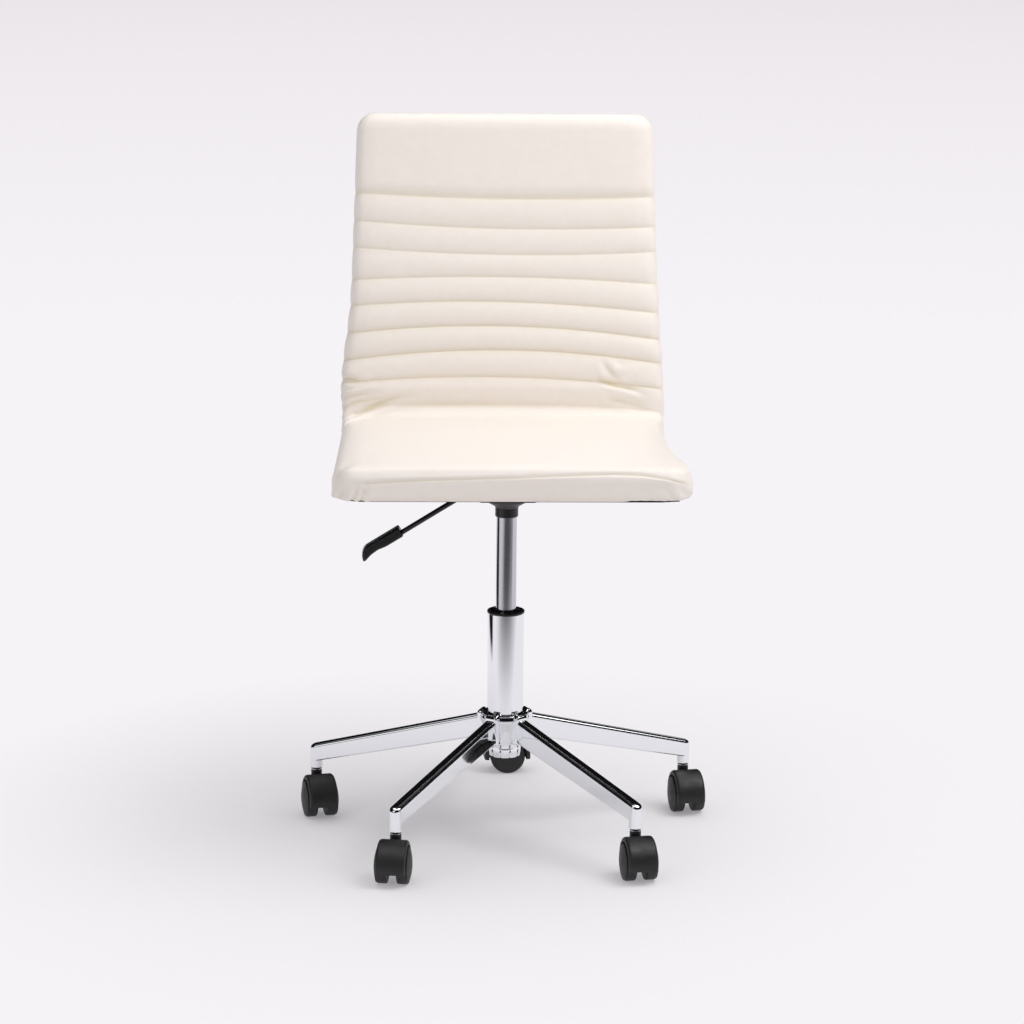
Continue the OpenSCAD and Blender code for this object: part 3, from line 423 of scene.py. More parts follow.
def hubSurface(columns=480):
    # Radius as a function of angle and height: a waisted cup joined softly to five square-ended lobes.
    # A lobe's outline is (|cos|/reach)^p + (|sin|/half width)^p = 1 / r^p about its leg's direction.
    size = starBase
    turn = fullTurn(columns)
    legs = np.array([math.atan2(*outward(legAngle(k))[1::-1]) for k in range(1, 6)])
    offset = (turn[:, None] - legs + math.pi) % (2 * math.pi) - math.pi
    offset = offset[np.arange(columns), np.abs(offset).argmin(1)]
    cup = roundedLine(size["cup"], 7)
    heights = np.unique(np.concatenate([cup[:, 1]] + [np.linspace(*rows) for rows in size["rows"]]))
    cupRadius = np.interp(heights, cup[:, 1], cup[:, 0])[:, None]
    low, high = size["lobeEdges"]
    foot = ramp(heights, size["lobeFoot"], size["lobeFoot"] + low)[:, None]
    top = ramp(heights, size["cupRim"] - high, size["cupRim"])[:, None]
    shrink = low * (1 - np.sqrt(1 - (1 - foot) ** 2)) + high * (1 - np.sqrt(1 - top ** 2))
    lobe = (
        (np.abs(np.cos(offset)) / (size["reach"] - shrink)) ** size["power"]
        + (np.abs(np.sin(offset)) / np.maximum(size["lobeHalf"] - 0.6 * shrink, 2)) ** size["power"]
    ) ** (-1 / size["power"])
    lobe = np.where((np.cos(offset) > 0) & (heights[:, None] >= size["lobeFoot"]), lobe, 0)
    radius = softMax(cupRadius + 0 * lobe, lobe, size["softness"])
    radius = np.where(heights[:, None] < 124, cupRadius, radius)
    # Above the cup's rim the rows shrink on to the dished top: crest, dish, then down the bore
    lobeShare = np.clip((radius[-30] - 33.5) / 4.5, 0, 1)
    crestHeight = 164.9 + 3.1 * lobeShare ** 0.7
    rows = np.minimum(heights[:, None], crestHeight)
    shells = [np.stack([radius, rows], -1)]
    crest = radius[-1]
    for share in np.linspace(0.12, 1, 12):
        dish = crestHeight - (crestHeight - size["dish"]) * np.sin(share * math.pi / 2) ** 1.3
        shells.append(np.stack([crest + (size["hubBore"] - crest) * share, dish], -1)[None])
    for inner, height in ((24.9, 160.0), (21.0, 108.0), (20.9, 104.0)):
        shells.append(np.stack([0 * turn + inner, 0 * turn + height], -1)[None])
    grid = np.concatenate(shells)
    points = np.stack([grid[..., 0] * np.cos(turn), grid[..., 0] * np.sin(turn), grid[..., 1]], -1)
    return points.reshape(-1, 3), gridFaces(len(grid), columns, wrapRows=True)


def legShell(k):
    # Plan outlines stacked from the under face to the top: straight sides and a half circle round the
    # socket, drawn in by the edges' radii, each point's height following the leg's own slope
    size = starBase
    half = size["legWidth"] / 2
    quarter = np.linspace(0, math.pi / 2, 9)
    under, upper = size["underEdge"], size["edge"]
    inset = np.concatenate([under * (1 - np.sin(quarter[::2])), upper * (1 - np.cos(quarter))])
    lift = np.concatenate([under * (1 - np.cos(quarter[::2])), -upper * (1 - np.sin(quarter))])
    fromTop = np.concatenate([np.zeros(len(quarter[::2])), np.ones(len(quarter))])
    side = np.linspace(34, size["circle"], 14)[:-1]
    bow = np.linspace(-math.pi / 2, math.pi / 2, size["circleSteps"])
    unitX = np.concatenate([side, size["circle"] + 0 * bow, side[::-1]])
    bowX = np.concatenate([0 * side, np.cos(bow), 0 * side])
    bowY = np.concatenate([0 * side - 1, np.sin(bow), 0 * side + 1])
    radius = (half - inset)[:, None]
    x, y = unitX + radius * bowX, radius * bowY
    share = (x - size["reach"]) / (size["circle"] - 4 - size["reach"])
    top = size["rootTop"] + (size["tipTop"] - size["rootTop"]) * share
    height = size["rootHeight"] + (size["tipHeight"] - size["rootHeight"]) * share
    z = top - height * (1 - fromTop[:, None]) + lift[:, None]
    points, faces = lofted(np.stack([x, y, z], -1))
    return placed(points, np.zeros(3), legAngle(k)), faces


def atStem(k, profile, columns, closed):
    points, faces = revolved(profile, columns, closed)
    return points + starBase["circle"] * outward(legAngle(k)), faces


def socketShell(k):
    # Upright tube under the leg's end, with the bore that takes the caster's stem
    size = starBase
    outer, bore, foot, top = (size[name] for name in ("socketRadius", "socketBore", "socketFoot", "socketTop"))
    roof = foot + size["boreDepth"]
    profile = roundedLine(
        [(0, top), (outer, top), (outer, foot, 0.7), (bore, foot, 0.4), (bore, roof), (0, roof)], 7
    )
    return atStem(k, profile, 72, False)


def washerShell(k):
    # Nylon washer between the socket's foot and the caster's flange
    outer, low, high = starBase["collarRadius"], starBase["collarFoot"], starBase["socketFoot"] + 0.05
    profile = roundedLine([(5.6, low, 0.2), (outer, low, 0.3), (outer, high, 0.4), (5.6, high, 0.2)], 4, True)
    return atStem(k, profile, 48, True)


makePiece("hubCasting", hubSurface(), "base", "chrome", "base_hub", sharp=50)
for k in range(1, 6):
    makePiece(f"legTube_{k}", legShell(k), "base", "chrome", f"base_leg_{k}")
    makePiece(f"legEnd_{k}", socketShell(k), "base", "chrome", f"leg_socket_{k}")
makePiece("stemWashers", joined(*(washerShell(k) for k in range(1, 6))), "base", "black_plastic")
print("star base made")

# ---- Casters

caster = {
    "turns": [9.8, 10.3, 95.3, 13.3, -8.7], "trail": 22.0, "wheel": 25.0, "width": 50.5, "gap": 14.0,
    "hoodInner": 27.2, "hoodOuter": 33.4, "hoodHalf": 19.7, "hoodFoot": 20.5, "hoodEdge": 4.0,
    "neck": 7.5, "neckTop": 60.7, "webHalf": 6.05, "dome": 23.2, "domeRise": 3.9, "treadEdge": 2.6,
}


def aboutAxle(radius, turn, y):
    return np.stack([
        caster["trail"] + radius * np.cos(turn), y, caster["wheel"] + radius * np.sin(turn)
    ], -1)


def hoodShell():
    # Hood: a rounded section swept round the axle, its two ends cut level; then the web and the neck
    size = caster
    section = roundedLine([
        (size["hoodInner"], -size["hoodHalf"], 0.6), (size["hoodOuter"], -size["hoodHalf"], size["hoodEdge"]),
        (size["hoodOuter"], size["hoodHalf"], size["hoodEdge"]), (size["hoodInner"], size["hoodHalf"], 0.6),
    ], 7, True)
    drop = size["wheel"] - size["hoodFoot"]
    first = -np.arcsin(drop / section[:, 0])
    share = np.linspace(0, 1, 61)[:, None]
    turn = first + (math.pi - 2 * first) * share
    hood = lofted(aboutAxle(section[:, 0], turn, section[:, 1] + 0 * turn))
    webRadius = size["hoodInner"] + 0.8
    first = -math.asin(drop / webRadius)
    turn = np.linspace(first, math.pi - first, 60)
    web = lofted(np.stack([aboutAxle(webRadius, turn, 0 * turn + side * size["webHalf"]) for side in (-1, 1)]))
    radius, top = size["neck"], size["neckTop"]
    neck = [(0, 53), (radius, 53), (radius, top, 0.6), (4.2, top, 0.4), (4.2, top - 6), (0, top - 6)]
    return joined(hood, web, revolved(roundedLine(neck, 5), 64, False))


def wheelShell(side):
    # Wheel turned about the axle: tread with rounded edges, a fine step, and a domed cover
    size = caster
    dome, rise, wheel, inner = (size[name] for name in ("dome", "domeRise", "wheel", "gap"))
    inner, outer = inner / 2, size["width"] / 2
    rim = outer - rise
    curve = (dome ** 2 + rise ** 2) / (2 * rise)
    angle = np.linspace(math.asin(dome / curve), 0, 17)
    tread = roundedLine([
        (0, inner), (wheel, inner, 1.3), (wheel, rim + 0.2, size["treadEdge"]), (dome + 0.6, rim - 0.05, 0.3),
        (dome + 0.3, rim - 0.5, 0.15), (dome, rim),
    ], 6)
    cap = np.stack([curve * np.sin(angle), outer - curve * (1 - np.cos(angle))], 1)
    profile = np.vstack([tread[:-1], cap])
    points, faces = revolved(profile, 96, False)
    return np.stack([size["trail"] + points[:, 0], side * points[:, 2], wheel + points[:, 1]], 1), faces


for k in range(1, 6):
    stem = starBase["circle"] * outward(legAngle(k))
    turn = math.radians(caster["turns"][k - 1])
    shells = [("casterHood", hoodShell(), "caster", "caster_housing")]
    for name, side in (("left", 1), ("right", -1)):
        shells.append((f"casterWheel_{name}", wheelShell(side), f"wheel_{name}", f"wheel_{name}"))
    for name, (points, faces), body, node in shells:
        makePiece(f"{name}_{k}", (placed(points, stem, turn), faces), f"{body}_{k}", "nylon", f"{node}_{k}")
print("casters made")

# ---- Column, gas cylinder and seat socket: turned pieces

turned = {
    # name: (body, slot, node, corners (radius, height, fillet) round the section)
    "columnTube": ("base", "chrome", "column_tube", [
        (6, 108), (21, 108, 0.8), (25, 164.5), (25, 306, 0.5), (23.2, 306, 0.5), (23.2, 164.5), (19.2, 111),
        (6, 111),
    ]),
    "guideBush": ("base", "black_plastic", "guide_bush", [
        (14.06, 230.5, 0.8), (23.15, 230.5, 0.8), (23.15, 306.05, 0), (25.7, 306.05, 0.5), (25.7, 309.3, 1.3),
        (21.9, 309.3, 0.8), (20.4, 307.6, 0.8), (14.06, 307.6, 0.5),
    ]),
    "gasCylinder": ("seat", "satin_steel", "gas_cylinder", [
        (5.06, 242.3), (12.5, 242.3, 1), (14, 243.8, 1), (14, 453.3), (12.8, 474, 0.4), (3.06, 474, 0.3),
        (3.06, 448), (12, 448), (12, 254.3), (5.06, 254.3),
    ]),
    "cylinderCollar": ("seat", "black_plastic", "cylinder_collar", [
        (14.02, 440.8), (15.75, 440.8, 1), (15.75, 453.3, 0.6), (14.02, 453.3),
    ]),
    "taperSocket": ("seat", "grey_powder_coat", "taper_socket", [
        (14.02, 453.35), (16, 453.35, 0.4), (16.6, 455.2, 1.5), (23.6, 459.4, 3), (29, 462.4, 2),
        (30.5, 471.5, 1), (17, 471.5), (16.4, 473, 0.4), (13.06, 473),
    ]),
}
for name, (body, slotName, node, corners) in turned.items():
    makePiece(name, revolved(roundedLine(corners, 5, True)), body, slotName, node, sharp=32)


seatPlate = {  # heights of the frame's own plate and where they go, in mm: a shallower channel
    "from": [459.5, 462.0, 474.0, 480.0, 520.0], "to": [471.4, 473.9, 475.5, 480.0, 520.0],
}


def pressedPlate():
    # The frame's own pressed plate with its heights run through the table, walls kept at their thickness
    mesh = frame["nodes"]["seat_plate"].data
    points = np.empty(3 * len(mesh.vertices))
    mesh.vertices.foreach_get("co", points)
    points = points.reshape(-1, 3) * 1000
    points[:, 2] = np.interp(points[:, 2], seatPlate["from"], seatPlate["to"])
    return points, [list(face.vertices) for face in mesh.polygons]


makePiece("pressedPlate", pressedPlate(), "seat", "grey_powder_coat", "seat_plate", sharp=30)
print("column and seat plate made")

# ---- Height lever

lever = {
    "height": 484.0, "bend": 36.0, "elbow": 14.0, "droop": 31.9, "rod": 3.5, "inner": 1.0,
    "pivot": 30.0, "pinBore": 2.56, "eye": 6.0, "eyeHalf": 4.0,
    "gripStart": 125.0, "gripLength": 65.0, "gripHalf": 13.0,
    # share of the grip's length, then its top and bottom above the rod's line
    "topLine": [(0, 9.6), (0.03, 10.2), (0.8, 10.2), (0.88, 8.4), (0.94, 5.0), (0.98, 0.6), (1, -3.2)],
    "underLine": [(0, -3.8), (0.03, -4.3), (0.44, -4.2), (0.62, -2.2), (0.8, -3.4), (0.93, -6.0), (0.985, -6.4),
                  (1, -5)],
}


def leverFrame(x, y, z):
    # Along the sloping rod from its bend: x out along it, z square to it
    slope = math.radians(lever["droop"])
    return np.stack([
        -lever["bend"] - x * math.cos(slope) - z * math.sin(slope), y,
        lever["height"] - x * math.sin(slope) + z * math.cos(slope),
    ], -1)


def rodShell():
    size = lever
    slope = math.radians(size["droop"])
    reach = size["elbow"] * math.tan(slope / 2)
    turn = np.linspace(0, slope, 14)
    start = reach - size["bend"]
    arc = np.stack([
        start - size["elbow"] * np.sin(turn), 0 * turn, size["height"] - size["elbow"] * (1 - np.cos(turn))
    ], 1)
    inner = np.array([[size["inner"], 0, size["height"]], [start + 6, 0, size["height"]]])
    end = leverFrame(np.array([reach + 6, size["gripStart"] + 44]), np.zeros(2), np.zeros(2))
    rod = tubeAlong(np.vstack([inner, arc, end]), size["rod"])
    outer, half = size["eye"], size["eyeHalf"]
    bore = size["pinBore"]
    section = [(bore, -half, 0.3), (outer, -half, 0.5), (outer, half, 0.5), (bore, half, 0.3)]
    points, faces = revolved(roundedLine(section, 4, True), 56)
    x, z, y = points.T
    return joined(rod, (np.stack([x - size["pivot"], y, z + size["height"]], 1), faces))


def gripShell(rows=72, columns=64):
    # Sections |y/a|^5 + |z/b|^5 = 1 between the top and under lines, closing at a rounded tip
    size = lever
    share = 0.5 - 0.5 * np.cos(np.linspace(0, math.pi, rows))
    top, under = (lookUp(size[name], share) for name in ("topLine", "underLine"))
    smooth = np.array([1, 2, 3, 2, 1]) / 9
    top[2:-2], under[2:-2] = np.convolve(top, smooth, "valid"), np.convolve(under, smooth, "valid")
    ends = np.clip(np.minimum(share / 0.012, (1 - share) / 0.09), 0, 1)
    half = size["gripHalf"] * (0.72 + 0.28 * np.sqrt(1 - (1 - ends) ** 2))
    depth = np.maximum((top - under) / 2 * np.clip(0.8 + share / 0.012 * 0.2, 0, 1), 0.5)
    turn = fullTurn(columns)
    power = 2 / 5
    y = np.sign(np.cos(turn)) * np.abs(np.cos(turn)) ** power
    z = np.sign(np.sin(turn)) * np.abs(np.sin(turn)) ** power
    x = size["gripStart"] + share[:, None] * size["gripLength"] + 0 * turn
    return lofted(leverFrame(x, half[:, None] * y, ((top + under) / 2)[:, None] + depth[:, None] * z))


makePiece("leverRod", rodShell(), "lever", "black_enamel", "lever_rod")
makePiece("leverGrip", gripShell(), "lever", "black_plastic", "lever_grip", sharp=60)
print("lever made")

# ---- Upholstery

cover = {
    "waist": 446.0, "front": 466.0, "top": 417.0, "seatFront": 240.0, "bendY": 147.0, "bendZ": 593.0,
    "bend": 80.0, "recline": 9.5, "creaseTurn": 31.8, "creaseRise": 44.0, "creaseThick": 21.2,
    "backLength": 423.5, "shellZ": 513.0, "shell": 12.0, "rim": 14.0, "seatThick": 33.0, "backThick": 42.0,
    "swell": 6.0, "crown": 15.0, "crownTurn": 118.0,
    "firstSeam": 18.0, "seamPitch": 35.8, "seamCount": 9, "topRound": 22.0, "seamDepth": 5.5,
    # how deep each seam lies, from the lowest to the highest
    "depths": [3.0, 4.6, 5.0, 4.8, 4.4, 3.8, 3.4, 3.6, 4.0],
    "frontCorner": 38.0, "topCorner": 25.0, "columns": 121, "rearColumns": 31, "sideSteps": 9,
    "frontSeamDepth": 1.3, "foldShade": 1.2, "frontSeamWidth": 2.2, "faceEdge": 0.955, "recessGap": 0.8,
    "noseEnd": -195.0, "seatRows": 84, "creaseRows": 9, "sectionScale": [223, 40],
    # rows of the band as shares of its height, rows about the front seam in mm, and rows below the lowest seam
    "bandShares": [0.0, 0.06, 0.13, 0.2, 0.3, 0.42, 0.55, 0.68, 0.8, 0.9],
    "seamRows": [-3.6, -2.2, -1.1, -0.4, 0.4, 1.1, 2.2, 3.8, 6.0], "overSeam": 12,
    "belowSeam": [0, 3, 6, 9, 12, 14.5, 16.6],
    # rows between two seams as shares of the pitch: the lowest three ribs, which carry folds, have more
    "fineRows": [0, 0.03, 0.08, 0.14, 0.2, 0.26, 0.32, 0.38, 0.44, 0.5, 0.56, 0.62, 0.68, 0.74, 0.8, 0.86, 0.91,
                 0.95],
    "ribRows": [0.0, 0.03, 0.08, 0.17, 0.29, 0.42, 0.54, 0.66, 0.78, 0.88, 0.95],
    # side view of the front: (y, z, fillet) from under the shell's edge, up the band and over to the top
    "nose": [(-229, 513.05), (-239.6, 513.05, 5), (-240.8, 546.5, 8), (-234, 557.8, 9), (-219, 560.2, 30)],
    # (y, half width) of the seat's right side, which pulls in and flares again; the left runs straight
    "rightSide": [(-240, 237.5), (-200, 238.5), (-165, 235.5), (-131, 231), (-100, 226.5), (-62, 222),
                  (0, 219.5), (60, 220), (147, 221)],
    # how much wider the skin lies at its left and right than the straight lines: (run, left, right)
    "spread": [(-430, 2, 0), (-60, 3, 0), (0, 4, 2), (40, 4.2, 4), (58, 5.5, 5.5), (80, 8, 5.5), (102, 7, 4),
               (127, 5.5, 4.5), (148, 3, 2), (170, 1, 2), (192, -1, 1), (240, -2, 0), (470, -2, 0)],
}
seamHeights = np.array([  # how far each seam of the back runs off level, at its left, middle and right
    (-5, -3, -8), (-5, 1.5, -12), (-8, 3.5, -11), (-6.5, 1, -13.5), (-5, -1, -13), (-5.5, -2, -9.5),
    (0.5, -7, -3.5), (2, -6.5, -4.5), (5, -1, 1.5),
])
noseSeam = np.array([  # height of the front seam across the seat
    (-233, 538.0), (-205, 538.5), (-190, 539.5), (-150, 541.5), (-100, 543.5), (0, 546.2), (80, 549.3),
    (132, 551.2), (164, 550.6), (198, 546.6), (224, 540.3), (236, 534.0),
])
folds = [  # where the skin creases: depth, half width, then (x, run) points; run is mm up from the seat's rear
    (4.4, 3.4, [(-228, 92), (-210, 90), (-199, 88)]),
    (2.2, 2.6, [(-228, 74), (-205, 78), (-190, 76)]),
    (3.8, 3.2, [(-229, 63), (-200, 66), (-165, 71)]),
    (3.6, 2.8, [(-228, 54), (-190, 59), (-144, 65)]),
    (4.6, 3.2, [(-228, 40), (-200, 46), (-178, 54), (-144, 63), (-110, 66)]),
    (3.2, 2.8, [(-228, 28), (-205, 39), (-185, 48), (-151, 56)]),
    (3.6, 4.0, [(-233, -42), (-222, 0), (-203, 20), (-182, 36), (-150, 44), (-103, 48)]),
    (2.6, 3.0, [(-231, -16), (-224, 6), (-212, 16)]),
    (1.4, 6.0, [(-150, 52), (-40, 53), (60, 50), (150, 48)]),
    (-2.4, 5.0, [(-191, 91), (-189, 90)]),
    (3.4, 4.0, [(139, 114), (152, 98), (171, 86)]),
    (-2.2, 5.0, [(150, 108), (162, 97)]),
    (3.2, 3.4, [(132, 91), (160, 82), (208, 75)]),
    (2.6, 3.0, [(168, 80), (182, 74), (204, 66)]),
    (2.8, 3.0, [(146, 60), (175, 56), (210, 49)]),
    (3.2, 6.0, [(-233, -404), (-222, -368), (-206, -332)]),
    (3.4, 2.4, [(-226, -428), (-221, -416), (-215, -402)]),
    (4.4, 2.6, [(-208, -433), (-203, -418), (-197, -398)]),
    (4.4, 2.6, [(-197, -433), (-192, -416), (-187, -396)]),
    (-2.0, 2.4, [(-213, -430), (-208, -418), (-202, -402)]),
    (1.6, 9.0, [(228, -118), (205, -104), (170, -96)]),
    (1.3, 8.0, [(222, -62), (200, -50), (160, -46)]),
    (1.8, 5.0, [(212, -428), (203, -412), (196, -398)]),
    (1.6, 4.0, [(226, -420), (219, -408), (214, -396)]),
]


def radial(angle):
    return np.stack([np.sin(angle), -np.cos(angle)], -1)


def seatShare(y):
    # 0 at the crease, 1 at the seat's front
    return np.clip((cover["bendY"] - y) / (cover["bendY"] + cover["seatFront"]), 0, 1)


def seatTop(y):
    # The crease's height plus a crown that grows towards the front: crown * sin(crownTurn * share)
    swell = cover["crown"] * np.sin(math.radians(cover["crownTurn"]) * seatShare(y))
    return cover["shellZ"] + cover["seatThick"] + swell


def seatHalf(y):
    return (cover["waist"] + (cover["front"] - cover["waist"]) * seatShare(y)) / 2


def leanRight(y, across):
    # How much further out the right side lies than the left, taken up evenly from left to right
    return (lookUp(cover["rightSide"], y) - seatHalf(y)) * (0.5 + 0.5 * across)


def cornerCut(radius, distance):
    # How far a corner of that radius has drawn in at a distance from its end: r - sqrt(r^2 - (r - d)^2)
    inside = np.clip(radius - distance, 0, radius)
    return radius - np.sqrt(radius ** 2 - inside ** 2)


def backLine(u):
    # Outer line of the back, as the shell's: round the bend's centre up to the crease's rise, then straight
    recline, start = math.radians(cover["recline"]), math.radians(cover["creaseTurn"])
    angle = start + (math.radians(90 - cover["recline"]) - start) * np.clip(u / cover["creaseRise"], 0, 1)
    along = np.maximum(u - cover["creaseRise"], 0)[..., None]
    out = radial(angle)
    slope = np.array([math.sin(recline), math.cos(recline)])
    return np.array([cover["bendY"], cover["bendZ"]]) + cover["bend"] * out + along * slope, out


def backThick(u):
    # Full thickness with a low swelling, (u / length - 0.28) in a bell 0.25 wide, rising out of the thin crease
    swell = cover["swell"] * np.exp(-(((u / cover["backLength"] - 0.28) / 0.25) ** 2))
    full = cover["backThick"] + swell
    rise = np.sin(np.clip(u / cover["creaseRise"], 0, 1) * math.pi / 2)
    return cover["creaseThick"] + (full - cover["creaseThick"]) * rise


def backHalf(u):
    return (cover["waist"] + (cover["top"] - cover["waist"]) * u / cover["backLength"]) / 2


def sectionShares():
    # Half a section from the rear corner to the front's middle: shares of the half width and thickness
    knots = np.array([
        (0.972, 0.0), (0.99, 0.06), (1.0, 0.2), (0.997, 0.42), (0.992, 0.6), (0.972, 0.78), (0.935, 0.87),
        (0.87, 0.925), (0.75, 0.958), (0.5, 0.985), (0.25, 0.997), (0.0, 1.0),
    ])
    run = runAlong(knots, cover["sectionScale"])
    curve = sampled(knots, run, np.linspace(0, run[-1], 400))
    for _ in range(60):  # even out the bends between knots
        curve[1:-1] = (curve[:-2] + 2 * curve[1:-1] + curve[2:]) / 4
    return curve


def columnShares():
    # Columns of the front face, closer together towards the sides: faceEdge * (1.35 t - 0.35 t^3)
    t = np.linspace(-1, 1, cover["columns"])
    return cover["faceEdge"] * (1.35 * t - 0.35 * t ** 3)


def coverRings(rear, front, half, inner, roof, isOpen):
    # Rings of the cover: the front face across, a side, the rear rim, the recess round the shell, and back
    size = cover
    curve = sectionShares()
    rows = len(rear)
    frontShare = columnShares()
    face = curve[np.argsort(curve[:, 0])]
    face = face[face[:, 1] > 0.5]
    faceThick = lookUp(face, np.abs(frontShare))
    sidePart = curve[(curve[:, 0] > size["faceEdge"] - 0.001) | (curve[:, 1] < 0.5)]
    run = runAlong(sidePart, size["sectionScale"])
    side = sampled(sidePart, run, np.linspace(run[-1], 0, size["sideSteps"] + 1)[1:])
    shares = np.vstack([np.stack([frontShare, faceThick], 1), side, side[::-1] * [-1, 1]])
    count = len(frontShare)
    split = count + len(side)
    rearShare = np.linspace(1, -1, size["rearColumns"] - 2)
    ring = np.zeros((rows, count + 2 * len(side) + size["rearColumns"], 3))

    lastSide = ring.shape[1] - len(side)
    for columns, share in ((slice(0, split), shares[:split]), (slice(lastSide, None), shares[split:])):
        ring[:, columns, 0] = half[:, columns] * share[:, 0]
        ring[:, columns, 1:] = rear[:, columns] + (front[:, columns] - rear[:, columns]) * share[:, 1, None]
    ends = [split - 1, lastSide]
    ring[:, ends, 0] = np.sign(ring[:, ends, 0]) * np.maximum(np.abs(ring[:, ends, 0]), inner[:, None] + 2.5)
    ring[:, split, 0], ring[:, lastSide - 1, 0] = inner, -inner
    ring[:, split, 1:] = ring[:, lastSide - 1, 1:] = rear[:, 0]
    middle = slice(split + 1, lastSide - 1)
    ring[:, middle, 0] = inner[:, None] * rearShare
    ring[:, middle, 1:] = np.where(isOpen[:, None, None], roof[:, None], rear[:, :1])
    return ring, count, split, lastSide


def noseLine():
    # Points evenly along the side view of the front, and the distance run along it
    line = roundedLine(cover["nose"] + [(cover["noseEnd"], float(seatTop(cover["noseEnd"])))], 14)
    run = runAlong(line)
    fine = np.linspace(0, run[-1], 600)
    return fine, sampled(line, run, fine)


